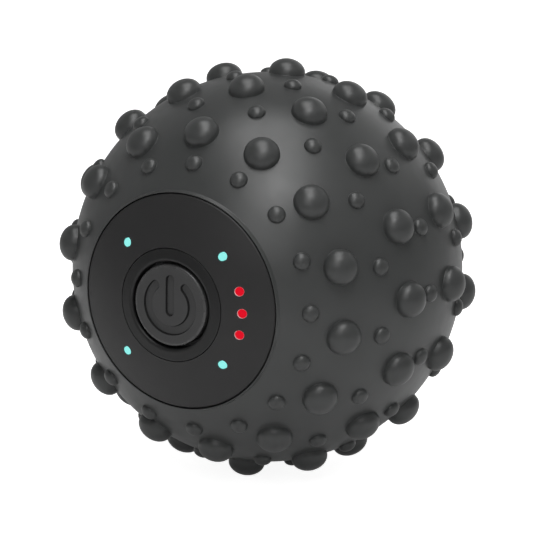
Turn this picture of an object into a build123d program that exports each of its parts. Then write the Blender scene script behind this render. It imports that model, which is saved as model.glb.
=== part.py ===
"""Cordless vibrating massage ball: a studded silicone sleeve over a two-part hollow shell.

The ball's centre is the origin and its axis lies along Y. The control panel faces -Y, the
charging cover faces +Y and +Z is up. "Depth" is the distance from the centre along the axis.
"""

import os
from math import acos, asin, cos, degrees, radians, sin, sqrt, tan

from build123d import *

os.makedirs("parts", exist_ok=True)

# ---------------------------------------------------------------- driving dimensions, mm
ball_radius = 61.5
sleeve_wall = 3.0
sleeve_to_shell = 0.2
shell_wall = 2.5

large_nub_radius = 5.7
large_nub_height = 4.8
small_nub_radius = 2.85
small_nub_height = 2.2
# Each ring of nubs: size, angle from the panel's pole, number round the ring, first bearing.
nub_rings = (
    ("small", 44.5, 16, 0.0),
    ("large", 55.3, 14, -9.9),
    ("small", 68.3, 16, 12.4),
    ("large", 78.4, 16, 0.0),
    ("small", 88.0, 18, 0.0),
    ("large", 101.0, 16, 0.0),
    ("small", 110.0, 16, 12.4),
    ("large", 124.0, 14, -9.9),
    ("small", 135.5, 16, 0.0),
)

cap_radius = 34.6          # control panel and charging cover
cap_wall = 2.4
cap_gap = 0.35             # between either cap and the sleeve's lip
cap_rim_wall = 2.4
panel_dome_radius = 75.0
panel_apex = 59.9
cover_dome_radius = 84.5
cover_apex = 58.7

deck_depth = 46.4          # outer face of the flat deck that carries each cap
deck_wall = 2.6
deck_hole_radius = 16.0
gasket_thickness = 0.8

cap_post_circle = 30.0
cap_screw_count = 4
cap_post_radius = 2.3
shell_boss_circle = 29.2
shell_boss_radius = 4.6
shell_boss_bearings = (55.0, 125.0, 235.0, 305.0)

light_circle = 24.9
light_radius = 1.5
speed_light_bearings = (45.0, 135.0, 225.0, 315.0)
battery_light_bearings = (-16.5, 0.0, 16.5)
battery_light_recess = 0.45

button_radius = 13.3
button_depth = 58.7
button_crown = 0.4         # how far the face falls from its middle to its edge
button_wall = 1.5
button_roof = 1.9
button_stem_radius = 2.2
button_gap = 0.9
button_flange_radius = 15.6
button_flange_thickness = 1.2
bezel_outer_radius = 18.2
bezel_edge_round = 1.0     # roll of the ring's inner edge
bezel_flange_width = 2.2
key_circle = 15.2          # three keys stop the button from turning
symbol_ring_radius = 8.15
symbol_groove = 2.8
symbol_engraving = 0.8
symbol_opening = 84.0      # degrees of the ring left open at the top
symbol_stroke_length = 13.0
symbol_stroke_middle = 3.2

board_radius = 27.2
board_thickness = 1.6
board_standoff = 1.5
board_screw_places = [(0, 23.5), (-23.5, 0), (0, -23.5)]
led_height = 0.8

# Screw radii: each kind's shank, its pilot and clearance holes, its head, and the head's height.
shell_screw_shank = 1.5
shell_screw_pilot = 1.55
shell_screw_clearance = 1.7
shell_screw_head = 2.75
shell_screw_head_height = 2.4
shell_screw_pocket = 3.1
cap_screw_shank = 1.25
cap_screw_pilot = 1.3
cap_screw_clearance = 1.4
cap_screw_head = 2.3
cap_screw_head_height = 1.8
board_screw_shank = 1.0
board_screw_pilot = 1.05
board_screw_clearance = 1.15
board_screw_head = 1.9
board_screw_head_height = 1.3
small_screw_shank = 0.8
small_screw_pilot = 0.85
small_screw_clearance = 0.95
small_screw_head = 1.6
small_screw_head_height = 1.1

motor_y = -6.0
motor_radius = 14.0
shaft_radius = 1.5
shaft_half_length = 33.0
weight_radius = 13.0
weight_thickness = 9.0
weight_inner_x = 22.8

cell_radius = 9.2
cell_length = 65.0
cell_y = 24.6
cell_z = 9.3

chassis_y = 9.5
chassis_wall = 2.5
chassis_radius = 53.5
chassis_post_circle = 46.0
chassis_post_radius = 4.0
chassis_post_bearings = (30.0, 150.0, 210.0, 330.0)

lead_radius = 0.65

# ---------------------------------------------------------------- worked-out dimensions
sleeve_inner_radius = ball_radius - sleeve_wall
shell_radius = sleeve_inner_radius - sleeve_to_shell
shell_inner_radius = shell_radius - shell_wall
opening_radius = cap_radius + cap_gap
deck_inner_depth = deck_depth - deck_wall
cap_seat_depth = deck_depth + gasket_thickness
cap_rim_inner_radius = cap_radius - cap_rim_wall
panel_hole_radius = bezel_outer_radius + 0.25
bezel_inner_radius = button_radius + button_gap
board_back_depth = deck_depth + board_standoff
board_front_depth = board_back_depth + board_thickness
chassis_back_y = chassis_y + chassis_wall


def depth_on_sphere(sphere_radius, radius, apex=None):
    """Depth of a sphere's surface at a radius from the axis; apex says where its top stands."""
    centre = 0.0 if apex is None else apex - sphere_radius
    return centre + sqrt(sphere_radius**2 - radius**2)


def front(depth):
    """Plane square to the axis on the panel's side: local x is +X and local y is +Z."""
    return Plane.XZ.offset(depth)


def rear(depth):
    """Plane square to the axis on the charging side: local x is +X and local y is -Z."""
    return Plane((0, depth, 0), x_dir=(1, 0, 0), z_dir=(0, 1, 0))


def across(x):
    """Plane square to the motor's shaft, centred on it: local x is +Y and local y is +Z."""
    return Plane((x, motor_y, 0), x_dir=(0, 1, 0), z_dir=(1, 0, 0))


def round_places(circle, bearings):
    """Places round the axis at the given bearings, measured from +X towards local y."""
    return [(circle * cos(radians(b)), circle * sin(radians(b))) for b in bearings]


def dome_radius(base_radius, height):
    """Radius of the sphere that stands a dome of this height on this base."""
    return (base_radius**2 + height**2) / (2 * height)


def nub_places(size, height, radius):
    """Where the domes of every nub of one size stand, each turned to point away from the centre."""
    reach = ball_radius + height - dome_radius(radius, height)
    places = []
    for ring_size, polar, count, first in nub_rings:
        if ring_size != size:
            continue
        for index in range(count):
            bearing = radians(first + index * 360.0 / count)
            spread = sin(radians(polar))
            outward = Vector(spread * cos(bearing), -cos(radians(polar)), spread * sin(bearing))
            places.append(Plane(outward * reach, z_dir=outward).location)
    return places


def arc_radii(points):
    """Largest tangent arc at each corner of a lead's route: 0.45 of the shorter run beside it."""
    corners = [Vector(*p) for p in points]
    radii = []
    for before, corner, after in zip(corners, corners[1:], corners[2:]):
        half_turn = radians((corner - before).get_angle(after - corner)) / 2
        run = min((corner - before).length, (after - corner).length)
        radii.append(0.45 * run / tan(half_turn))
    return radii


# ================================================================ outer sleeve
lip_depth = depth_on_sphere(panel_dome_radius, cap_radius, panel_apex) - 0.1
lip_foot_radius = opening_radius + 0.65
nub_root = -4.0            # latitude at which each dome is cut off inside the sleeve's wall
seam_bearing = radians(187)
seam_plane = Plane(
    (0, 0, 0),
    x_dir=(cos(seam_bearing), 0, sin(seam_bearing)),
    z_dir=(-sin(seam_bearing), 0, cos(seam_bearing)),
)
outer_sweep = degrees(acos(lip_foot_radius / ball_radius))
inner_sweep = degrees(acos(opening_radius / sleeve_inner_radius))

with BuildPart() as silicone_sleeve:
    # A thin lip stands round each opening and hugs the cap's edge.
    with BuildSketch(seam_plane):
        with BuildLine():
            outer = CenterArc((0, 0), ball_radius, -outer_sweep, 2 * outer_sweep)
            inner = CenterArc((0, 0), sleeve_inner_radius, -inner_sweep, 2 * inner_sweep)
            Polyline(
                inner @ 0,
                (opening_radius, -lip_depth),
                (opening_radius + 0.15, -lip_depth),
                (opening_radius + 0.38, -lip_depth + 0.4),
                outer @ 0,
            )
            Polyline(
                inner @ 1,
                (opening_radius, lip_depth),
                (opening_radius + 0.15, lip_depth),
                (opening_radius + 0.38, lip_depth - 0.4),
                outer @ 1,
            )
        make_face()
    revolve(axis=Axis.Y)
    with Locations(*nub_places("large", large_nub_height, large_nub_radius)):
        Sphere(dome_radius(large_nub_radius, large_nub_height), arc_size1=nub_root, align=None)
    with Locations(*nub_places("small", small_nub_height, small_nub_radius)):
        Sphere(dome_radius(small_nub_radius, small_nub_height), arc_size1=nub_root, align=None)
silicone_sleeve.part.label = "silicone_sleeve"
export_step(silicone_sleeve.part, "parts/silicone_sleeve.step")

# ================================================================ shells
shell_deck_angle = degrees(asin(deck_depth / shell_radius))
shell_inner_angle = degrees(asin(deck_inner_depth / shell_inner_radius))
tongue_radius = shell_inner_radius + 1.15
tongue_height = 2.9
tongue_clearance = 0.1


def half_shell_profile(side, hole_radius):
    """Wall of a half shell with its flat deck, drawn as radius and Y; side is -1 front, 1 rear."""
    with BuildSketch(Plane.XY) as profile:
        with BuildLine():
            outer = CenterArc((0, 0), shell_radius, 0, side * shell_deck_angle)
            inner = CenterArc((0, 0), shell_inner_radius, 0, side * shell_inner_angle)
            Polyline(
                outer @ 1,
                (hole_radius, side * deck_depth),
                (hole_radius, side * deck_inner_depth),
                inner @ 1,
            )
            Line(outer @ 0, inner @ 0)
        make_face()
    return profile.sketch


screw_seat_depth = 8.0
board_post_radius = 2.2
pilot_floor = 0.6
front_shell_wall = half_shell_profile(-1, deck_hole_radius)
with BuildPart() as front_shell:
    revolve(front_shell_wall, axis=Axis.Y)
    # Long bosses run from the deck to the joint face and take the screws that close the ball.
    with BuildSketch(front(0)):
        with Locations(*round_places(shell_boss_circle, shell_boss_bearings)):
            Circle(shell_boss_radius)
    extrude(amount=deck_depth)
    with BuildSketch(front(screw_seat_depth)):
        with Locations(*round_places(shell_boss_circle, shell_boss_bearings)):
            Circle(shell_screw_pocket)
    extrude(amount=deck_depth, mode=Mode.SUBTRACT)
    with BuildSketch(front(0)):
        with Locations(*round_places(shell_boss_circle, shell_boss_bearings)):
            Circle(shell_screw_clearance)
    extrude(amount=screw_seat_depth, mode=Mode.SUBTRACT)
    # Stand-offs for the control board.
    with BuildSketch(front(deck_depth)):
        with Locations(*board_screw_places):
            Circle(board_post_radius)
    extrude(amount=board_standoff)
    with BuildSketch(front(deck_inner_depth + pilot_floor)):
        with Locations(*board_screw_places):
            Circle(board_screw_pilot)
    extrude(amount=deck_wall + board_standoff, mode=Mode.SUBTRACT)
    # Clearance holes for the screws that hold the control panel from inside.
    with BuildSketch(front(deck_inner_depth)):
        with PolarLocations(cap_post_circle, cap_screw_count):
            Circle(cap_screw_clearance)
    extrude(amount=deck_wall, mode=Mode.SUBTRACT)
    # Rebate that takes the rear shell's tongue.
    with BuildSketch(front(0)):
        Circle(tongue_radius + tongue_clearance)
        Circle(shell_inner_radius - 1, mode=Mode.SUBTRACT)
    extrude(amount=tongue_height + tongue_clearance, mode=Mode.SUBTRACT)
front_shell.part.label = "front_shell"
export_step(front_shell.part, "parts/front_shell.step")

board_slot_width = 18.0
board_slot_height = 9.0
ledge_x = 5.5
ledge_screw_y = 41.0
ledge_start_z = -6.0
ledge_height = 3.15
shell_pilot_depth = 12.0
chassis_post_length = 17.5
chassis_pilot_depth = 8.0
rear_shell_wall = half_shell_profile(1, 0)
with BuildPart() as rear_shell:
    revolve(rear_shell_wall, axis=Axis.Y)
    with BuildSketch(front(0)):
        Circle(tongue_radius)
        Circle(shell_inner_radius, mode=Mode.SUBTRACT)
    extrude(amount=tongue_height)
    with BuildSketch(rear(0)):
        with Locations(*round_places(shell_boss_circle, shell_boss_bearings)):
            Circle(shell_boss_radius)
    extrude(amount=deck_depth)
    with BuildSketch(rear(0)):
        with Locations(*round_places(shell_boss_circle, shell_boss_bearings)):
            Circle(shell_screw_pilot)
    extrude(amount=shell_pilot_depth, mode=Mode.SUBTRACT)
    # Posts that carry the chassis.
    with BuildSketch(rear(chassis_back_y)):
        with Locations(*round_places(chassis_post_circle, chassis_post_bearings)):
            Circle(chassis_post_radius)
    extrude(amount=chassis_post_length)
    with BuildSketch(rear(chassis_back_y)):
        with Locations(*round_places(chassis_post_circle, chassis_post_bearings)):
            Circle(cap_screw_pilot)
    extrude(amount=chassis_pilot_depth, mode=Mode.SUBTRACT)
    with BuildSketch(rear(deck_inner_depth)):
        with PolarLocations(cap_post_circle, cap_screw_count):
            Circle(cap_screw_clearance)
    extrude(amount=deck_wall, mode=Mode.SUBTRACT)
    # Slot for the charging board, with a ledge either side under it.
    with BuildSketch(rear(deck_inner_depth)):
        Rectangle(board_slot_width, board_slot_height)
    extrude(amount=deck_wall, mode=Mode.SUBTRACT)
    with BuildSketch(Plane.XY.offset(ledge_start_z)):
        with Locations((-ledge_x, ledge_screw_y + 1.2), (ledge_x, ledge_screw_y + 1.2)):
            Rectangle(4, 8.4)
    extrude(amount=ledge_height)
    with BuildSketch(Plane.XY.offset(ledge_start_z)):
        with Locations((-ledge_x, ledge_screw_y), (ledge_x, ledge_screw_y)):
            Circle(small_screw_pilot)
    extrude(amount=ledge_height, mode=Mode.SUBTRACT)
rear_shell.part.label = "rear_shell"
export_step(rear_shell.part, "parts/rear_shell.step")

shell_screw_reach = 9.0
with BuildPart() as shell_screws:
    with BuildSketch(front(screw_seat_depth)):
        with Locations(*round_places(shell_boss_circle, shell_boss_bearings)):
            Circle(shell_screw_head)
    extrude(amount=shell_screw_head_height)
    with BuildSketch(front(screw_seat_depth + shell_screw_head_height)):
        with Locations(*round_places(shell_boss_circle, shell_boss_bearings)):
            RegularPolygon(1.4, 6)
    extrude(amount=-1.4, mode=Mode.SUBTRACT)
    with BuildSketch(rear(shell_screw_reach)):
        with Locations(*round_places(shell_boss_circle, shell_boss_bearings)):
            Circle(shell_screw_shank)
    extrude(amount=-(shell_screw_reach + screw_seat_depth))
shell_screws.part.label = "shell_screws"
export_step(shell_screws.part, "parts/shell_screws.step")


# ================================================================ control panel
def cap_profile(side, dome, apex, hole_radius):
    """Domed cap with a rim wall, drawn as radius and Y; side is -1 front, 1 rear."""
    edge_round = 0.5
    edge_drop = 0.85
    edge_depth = depth_on_sphere(dome, cap_radius - edge_round, apex)
    inner_dome = dome - cap_wall
    inner_apex = apex - cap_wall
    rim_depth = depth_on_sphere(inner_dome, cap_rim_inner_radius, inner_apex)
    centre = (0, side * (apex - dome))
    outer_start = degrees(acos(hole_radius / dome))
    outer_end = degrees(acos((cap_radius - edge_round) / dome))
    inner_start = degrees(acos(hole_radius / inner_dome))
    inner_end = degrees(acos(cap_rim_inner_radius / inner_dome))
    with BuildSketch(Plane.XY) as profile:
        with BuildLine():
            CenterArc(centre, dome, side * outer_start, side * (outer_end - outer_start))
            CenterArc(centre, inner_dome, side * inner_start, side * (inner_end - inner_start))
            ThreePointArc(
                (cap_radius - edge_round, side * edge_depth),
                (cap_radius - 0.12, side * (edge_depth - 0.33)),
                (cap_radius, side * (edge_depth - edge_drop)),
            )
            Polyline(
                (cap_radius, side * (edge_depth - edge_drop)),
                (cap_radius, side * cap_seat_depth),
                (cap_rim_inner_radius, side * cap_seat_depth),
                (cap_rim_inner_radius, side * rim_depth),
            )
            Line(
                (hole_radius, side * depth_on_sphere(dome, hole_radius, apex)),
                (hole_radius, side * depth_on_sphere(inner_dome, hole_radius, inner_apex)),
            )
        make_face()
    return profile.sketch


panel_post_height = 4.6
cap_pilot_depth = 4.2
cap_cut_reach = 15.0       # passes right through either cap
light_clearance = 0.06
gasket_edge_gap = 0.2
all_light_places = round_places(light_circle, speed_light_bearings + battery_light_bearings)
panel_wall = cap_profile(-1, panel_dome_radius, panel_apex, panel_hole_radius)
with BuildPart() as control_panel:
    revolve(panel_wall, axis=Axis.Y)
    with BuildSketch(front(deck_depth)):
        with PolarLocations(cap_post_circle, cap_screw_count):
            Circle(cap_post_radius)
    extrude(amount=panel_post_height)
    with BuildSketch(front(deck_depth)):
        with PolarLocations(cap_post_circle, cap_screw_count):
            Circle(cap_screw_pilot)
    extrude(amount=cap_pilot_depth, mode=Mode.SUBTRACT)
    with BuildSketch(front(deck_depth)):
        with Locations(*all_light_places):
            Circle(light_radius + light_clearance)
    extrude(amount=cap_cut_reach, mode=Mode.SUBTRACT)
control_panel.part.label = "control_panel"
export_step(control_panel.part, "parts/control_panel.step")

with BuildPart() as panel_gasket:
    with BuildSketch(front(deck_depth)):
        Circle(cap_radius - gasket_edge_gap)
        Circle(cap_rim_inner_radius + gasket_edge_gap, mode=Mode.SUBTRACT)
    extrude(amount=gasket_thickness)
panel_gasket.part.label = "panel_gasket"
export_step(panel_gasket.part, "parts/panel_gasket.step")

cap_screw_length = 6.0
with BuildPart() as panel_screws:
    with BuildSketch(front(deck_inner_depth - cap_screw_head_height)):
        with PolarLocations(cap_post_circle, cap_screw_count):
            Circle(cap_screw_head)
    extrude(amount=cap_screw_head_height)
    with BuildSketch(front(deck_inner_depth)):
        with PolarLocations(cap_post_circle, cap_screw_count):
            Circle(cap_screw_shank)
    extrude(amount=cap_screw_length)
panel_screws.part.label = "panel_screws"
export_step(panel_screws.part, "parts/panel_screws.step")

bezel_flange_depth = 54.3
bezel_foot_depth = 52.8
bezel_stop_depth = 53.9
throat_radius = button_flange_radius + 0.5
key_height = 1.9
bezel_crest_radius = bezel_inner_radius + bezel_edge_round
bezel_crest_depth = depth_on_sphere(panel_dome_radius, bezel_crest_radius, panel_apex)
bezel_middle_radius = (bezel_crest_radius + bezel_outer_radius) / 2
bezel_middle_depth = depth_on_sphere(panel_dome_radius, bezel_middle_radius, panel_apex)
bezel_outer_depth = depth_on_sphere(panel_dome_radius, bezel_outer_radius, panel_apex)
roll_inset = bezel_edge_round * (1 - sqrt(0.5))
with BuildPart() as button_bezel:
    # The ring's face carries on the panel's dome and rolls over towards the button.
    with BuildSketch(Plane.XY):
        with BuildLine():
            ThreePointArc(
                (bezel_inner_radius, -(bezel_crest_depth - bezel_edge_round)),
                (bezel_inner_radius + roll_inset, -(bezel_crest_depth - roll_inset)),
                (bezel_crest_radius, -bezel_crest_depth),
            )
            ThreePointArc(
                (bezel_crest_radius, -bezel_crest_depth),
                (bezel_middle_radius, -bezel_middle_depth),
                (bezel_outer_radius, -bezel_outer_depth),
            )
            Polyline(
                (bezel_outer_radius, -bezel_outer_depth),
                (bezel_outer_radius, -bezel_flange_depth),
                (bezel_outer_radius + bezel_flange_width, -bezel_flange_depth),
                (bezel_outer_radius + bezel_flange_width, -bezel_foot_depth),
                (throat_radius, -bezel_foot_depth),
                (throat_radius, -bezel_stop_depth),
                (bezel_inner_radius, -bezel_stop_depth),
                (bezel_inner_radius, -(bezel_crest_depth - bezel_edge_round)),
            )
        make_face()
    revolve(axis=Axis.Y)
    # Three keys reach into notches in the button's flange, so that it can't turn.
    with BuildSketch(front(bezel_stop_depth)):
        with PolarLocations(key_circle, 3, start_angle=30):
            Rectangle(1.8, 2.0)
    extrude(amount=-key_height)
button_bezel.part.label = "button_bezel"
export_step(button_bezel.part, "parts/button_bezel.step")

# ================================================================ power button
button_flange_top = bezel_stop_depth - 0.1
button_flange_bottom = button_flange_top - button_flange_thickness
button_stem_depth = 53.4
button_chamfer = 0.4
button_hollow_radius = button_radius - button_wall
button_face_radius = button_radius - button_chamfer
button_edge_depth = button_depth - button_crown
sign_cut_start = 0.2
with BuildPart() as power_button:
    with BuildSketch(Plane.XY):
        with BuildLine():
            ThreePointArc(
                (0, -button_depth),
                (button_face_radius / 2, -(button_depth - button_crown / 4)),
                (button_face_radius, -button_edge_depth),
            )
            Polyline(
                (button_face_radius, -button_edge_depth),
                (button_radius, -(button_edge_depth - button_chamfer)),
                (button_radius, -button_flange_top),
                (button_flange_radius, -button_flange_top),
                (button_flange_radius, -button_flange_bottom),
                (button_hollow_radius, -button_flange_bottom),
                (button_hollow_radius, -(button_depth - button_roof)),
                (button_stem_radius, -(button_depth - button_roof)),
                (button_stem_radius, -button_stem_depth),
                (0, -button_stem_depth),
                (0, -button_depth),
            )
        make_face()
    revolve(axis=Axis.Y)
    # Notches for the bezel's keys.
    with BuildSketch(front(button_flange_bottom - 0.5)):
        with PolarLocations(key_circle, 3, start_angle=30):
            Rectangle(2.5, 2.7)
    extrude(amount=key_height, mode=Mode.SUBTRACT)
    # Engraved power sign: a ring left open at the top and an upright stroke.
    with BuildSketch(front(button_depth + sign_cut_start)):
        arc_start = 90 + symbol_opening / 2
        with BuildLine(mode=Mode.PRIVATE) as ring_line:
            CenterArc((0, 0), symbol_ring_radius, arc_start, 360 - symbol_opening)
        SlotArc(ring_line.edges()[0], symbol_groove)
        with Locations((0, symbol_stroke_middle)):
            SlotOverall(symbol_stroke_length, symbol_groove, rotation=90)
    extrude(amount=-(sign_cut_start + symbol_engraving), mode=Mode.SUBTRACT)
power_button.part.label = "power_button"
export_step(power_button.part, "parts/power_button.step")

switch_width = 6.2
switch_height = 3.1
switch_floor = 0.8
plunger_radius = 1.7
plunger_start_depth = board_front_depth + 1.8
with BuildPart() as switch_body:
    with BuildSketch(front(board_front_depth)):
        Rectangle(switch_width, switch_width)
    extrude(amount=switch_height)
    with BuildSketch(front(board_front_depth + switch_floor)):
        Circle(plunger_radius + 0.05)
    extrude(amount=switch_height, mode=Mode.SUBTRACT)
switch_body.part.label = "switch_body"
export_step(switch_body.part, "parts/switch_body.step")

with BuildPart() as switch_plunger:
    with BuildSketch(front(plunger_start_depth)):
        Circle(plunger_radius)
    extrude(amount=button_stem_depth - plunger_start_depth)
switch_plunger.part.label = "switch_plunger"
export_step(switch_plunger.part, "parts/switch_plunger.step")

# ================================================================ lights and control board
pipe_foot_depth = board_front_depth + led_height + 0.3
pipe_flange_depth = 51.5
pipe_flange_thickness = 0.8
pipe_flange_width = 0.6
led_size = (2.0, 1.3)


def light_pipes(bearings, recess):
    """Clear pipes that stand on the lamps and end at the panel's domed face, less a recess."""
    with BuildPart() as pipes:
        with BuildSketch(front(pipe_foot_depth)):
            with Locations(*round_places(light_circle, bearings)):
                Circle(light_radius)
        extrude(amount=8)
        with BuildSketch(front(pipe_flange_depth - pipe_flange_thickness)):
            with Locations(*round_places(light_circle, bearings)):
                Circle(light_radius + pipe_flange_width)
        extrude(amount=pipe_flange_thickness)
        with Locations((0, panel_dome_radius - panel_apex, 0)):
            Sphere(panel_dome_radius - recess, mode=Mode.INTERSECT)
    return pipes


speed_light_pipes = light_pipes(speed_light_bearings, 0.02)
speed_light_pipes.part.label = "speed_light_pipes"
export_step(speed_light_pipes.part, "parts/speed_light_pipes.step")

battery_light_pipes = light_pipes(battery_light_bearings, battery_light_recess)
battery_light_pipes.part.label = "battery_light_pipes"
export_step(battery_light_pipes.part, "parts/battery_light_pipes.step")

with BuildPart() as speed_leds:
    with BuildSketch(front(board_front_depth)):
        with Locations(*round_places(light_circle, speed_light_bearings)):
            Rectangle(*led_size)
    extrude(amount=led_height)
speed_leds.part.label = "speed_leds"
export_step(speed_leds.part, "parts/speed_leds.step")

with BuildPart() as battery_leds:
    with BuildSketch(front(board_front_depth)):
        with Locations(*round_places(light_circle, battery_light_bearings)):
            Rectangle(*led_size)
    extrude(amount=led_height)
battery_leds.part.label = "battery_leds"
export_step(battery_leds.part, "parts/battery_leds.step")

with BuildPart() as control_board:
    with BuildSketch(front(board_back_depth)):
        Circle(board_radius)
        with Locations(*board_screw_places):
            Circle(board_screw_clearance, mode=Mode.SUBTRACT)
    extrude(amount=board_thickness)
control_board.part.label = "control_board"
export_step(control_board.part, "parts/control_board.step")

board_screw_length = 4.6
with BuildPart() as board_screws:
    with BuildSketch(front(board_front_depth)):
        with Locations(*board_screw_places):
            Circle(board_screw_head)
    extrude(amount=board_screw_head_height)
    with BuildSketch(front(board_front_depth - board_screw_length)):
        with Locations(*board_screw_places):
            Circle(board_screw_shank)
    extrude(amount=board_screw_length)
board_screws.part.label = "board_screws"
export_step(board_screws.part, "parts/board_screws.step")

# Lead sockets hang behind the board, inside the deck's hole: motor, cells, charging.
motor_socket = (7.0, 7.5)
cell_socket = (-8.0, 3.0)
charge_socket = (-6.0, -8.0)
socket_places = (motor_socket, cell_socket, charge_socket)
socket_height = 4.0
plug_height = 4.0
plug_depth = board_back_depth - socket_height
with BuildPart() as board_sockets:
    with BuildSketch(front(board_back_depth)):
        with Locations(*socket_places):
            Rectangle(5.0, 7.5)
    extrude(amount=-socket_height)
board_sockets.part.label = "board_sockets"
export_step(board_sockets.part, "parts/board_sockets.step")

with BuildPart() as lead_plugs:
    with BuildSketch(front(plug_depth)):
        with Locations(*socket_places):
            Rectangle(4.2, 6.7)
    extrude(amount=-plug_height)
lead_plugs.part.label = "lead_plugs"
export_step(lead_plugs.part, "parts/lead_plugs.step")

with BuildPart() as controller_chip:
    with BuildSketch(front(board_back_depth)):
        with Locations((7, -5)):
            Rectangle(7, 7)
    extrude(amount=-1.2)
controller_chip.part.label = "controller_chip"
export_step(controller_chip.part, "parts/controller_chip.step")

# ================================================================ motor and eccentric weights
can_left = -19.0
can_right = 17.6
bell_right = 19.4
nose_reach = 21.0
nose_radius = 4.6
bush_radius = 3.5
bush_length = 4.0
bush_inset = 0.2
bush_seat_depth = 5.0
can_wall = 1.2
with BuildPart() as motor_can:
    with BuildSketch(across(can_left)):
        Circle(motor_radius)
    extrude(amount=can_right - can_left)
    with BuildSketch(across(can_left + can_wall)):
        Circle(motor_radius - can_wall)
    extrude(amount=can_right - can_left, mode=Mode.SUBTRACT)
    with BuildSketch(across(-nose_reach)):
        Circle(nose_radius)
    extrude(amount=nose_reach + can_left)
    with BuildSketch(across(-nose_reach)):
        Circle(bush_radius)
    extrude(amount=bush_seat_depth, mode=Mode.SUBTRACT)
motor_can.part.label = "motor_can"
export_step(motor_can.part, "parts/motor_can.step")

with BuildPart() as motor_end_bell:
    with BuildSketch(across(can_right)):
        Circle(motor_radius)
    extrude(amount=bell_right - can_right)
    with BuildSketch(across(bell_right)):
        Circle(nose_radius)
    extrude(amount=nose_reach - bell_right)
    with BuildSketch(across(can_right)):
        Circle(bush_radius)
    extrude(amount=bush_seat_depth, mode=Mode.SUBTRACT)
motor_end_bell.part.label = "motor_end_bell"
export_step(motor_end_bell.part, "parts/motor_end_bell.step")

terminal_y = -14.5
terminal_z = 4.0
terminal_width = 2.4
terminal_length = 2.4
with BuildPart() as motor_terminals:
    with BuildSketch(Plane.YZ.offset(bell_right)):
        with Locations((terminal_y, terminal_z), (terminal_y, -terminal_z)):
            Rectangle(terminal_width, 0.6)
    extrude(amount=terminal_length)
motor_terminals.part.label = "motor_terminals"
export_step(motor_terminals.part, "parts/motor_terminals.step")

with BuildPart() as shaft_bushes:
    for start in (-nose_reach + bush_inset, nose_reach - bush_inset - bush_length):
        with BuildSketch(across(start)):
            Circle(bush_radius - 0.03)
            Circle(shaft_radius + 0.05, mode=Mode.SUBTRACT)
        extrude(amount=bush_length)
shaft_bushes.part.label = "shaft_bushes"
export_step(shaft_bushes.part, "parts/shaft_bushes.step")

magnet_length = 21.0
magnet_inner_radius = 10.7
magnet_gap = 8.0
with BuildPart() as motor_magnets:
    with BuildSketch(across(-magnet_length / 2 - 0.5)):
        Circle(motor_radius - can_wall - 0.1)
        Circle(magnet_inner_radius, mode=Mode.SUBTRACT)
        Rectangle(2 * motor_radius, magnet_gap, mode=Mode.SUBTRACT)
    extrude(amount=magnet_length)
motor_magnets.part.label = "motor_magnets"
export_step(motor_magnets.part, "parts/motor_magnets.step")

with BuildPart() as motor_shaft:
    with BuildSketch(across(-shaft_half_length)):
        Circle(shaft_radius)
    extrude(amount=2 * shaft_half_length)
motor_shaft.part.label = "motor_shaft"
export_step(motor_shaft.part, "parts/motor_shaft.step")

pole_count = 5
armature_start_x = -10.0
armature_length = 19.0
winding_circle = 6.9
winding_radius = 2.25
winding_overhang = 1.5
shaft_fit = 0.02
with BuildPart() as motor_armature:
    with BuildSketch(across(armature_start_x)):
        Circle(10.2)
        Circle(shaft_radius + shaft_fit, mode=Mode.SUBTRACT)
        with PolarLocations(winding_circle, pole_count, start_angle=90):
            Circle(winding_radius + 0.1, mode=Mode.SUBTRACT)
        with PolarLocations(9.6, pole_count, start_angle=90):
            Rectangle(3, 1.2, mode=Mode.SUBTRACT)
    extrude(amount=armature_length)
motor_armature.part.label = "motor_armature"
export_step(motor_armature.part, "parts/motor_armature.step")

with BuildPart() as armature_windings:
    with BuildSketch(across(armature_start_x - winding_overhang)):
        with PolarLocations(winding_circle, pole_count, start_angle=90):
            Circle(winding_radius)
    extrude(amount=armature_length + 2 * winding_overhang)
armature_windings.part.label = "armature_windings"
export_step(armature_windings.part, "parts/armature_windings.step")

with BuildPart() as commutator:
    with BuildSketch(across(11)):
        Circle(4.2)
        Circle(shaft_radius + shaft_fit, mode=Mode.SUBTRACT)
        with PolarLocations(4.0, pole_count, start_angle=54):
            Rectangle(1.6, 0.4, mode=Mode.SUBTRACT)
    extrude(amount=4.5)
commutator.part.label = "commutator"
export_step(commutator.part, "parts/commutator.step")

weight_hub_radius = 4.4
grub_radius = 1.45
grub_start_z = 1.6
grub_length = 2.8
weight_starts = (-weight_inner_x - weight_thickness, weight_inner_x)
grub_places = [(start + weight_thickness / 2, motor_y) for start in weight_starts]
with BuildPart() as eccentric_weights:
    for start in weight_starts:
        with BuildSketch(across(start)):
            Circle(weight_radius)
            with Locations((0, weight_radius)):
                Rectangle(2 * weight_radius, 2 * weight_radius, mode=Mode.SUBTRACT)
            Circle(weight_hub_radius)
            Circle(shaft_radius + shaft_fit, mode=Mode.SUBTRACT)
        extrude(amount=weight_thickness)
    with BuildSketch(Plane.XY.offset(1.2)):
        with Locations(*grub_places):
            Circle(grub_radius + 0.05)
    extrude(amount=5, mode=Mode.SUBTRACT)
eccentric_weights.part.label = "eccentric_weights"
export_step(eccentric_weights.part, "parts/eccentric_weights.step")

with BuildPart() as weight_screws:
    with BuildSketch(Plane.XY.offset(grub_start_z)):
        with Locations(*grub_places):
            Circle(grub_radius)
    extrude(amount=grub_length)
    with BuildSketch(Plane.XY.offset(grub_start_z + grub_length)):
        with Locations(*grub_places):
            RegularPolygon(0.8, 6)
    extrude(amount=-1.4, mode=Mode.SUBTRACT)
weight_screws.part.label = "weight_screws"
export_step(weight_screws.part, "parts/weight_screws.step")

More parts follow.
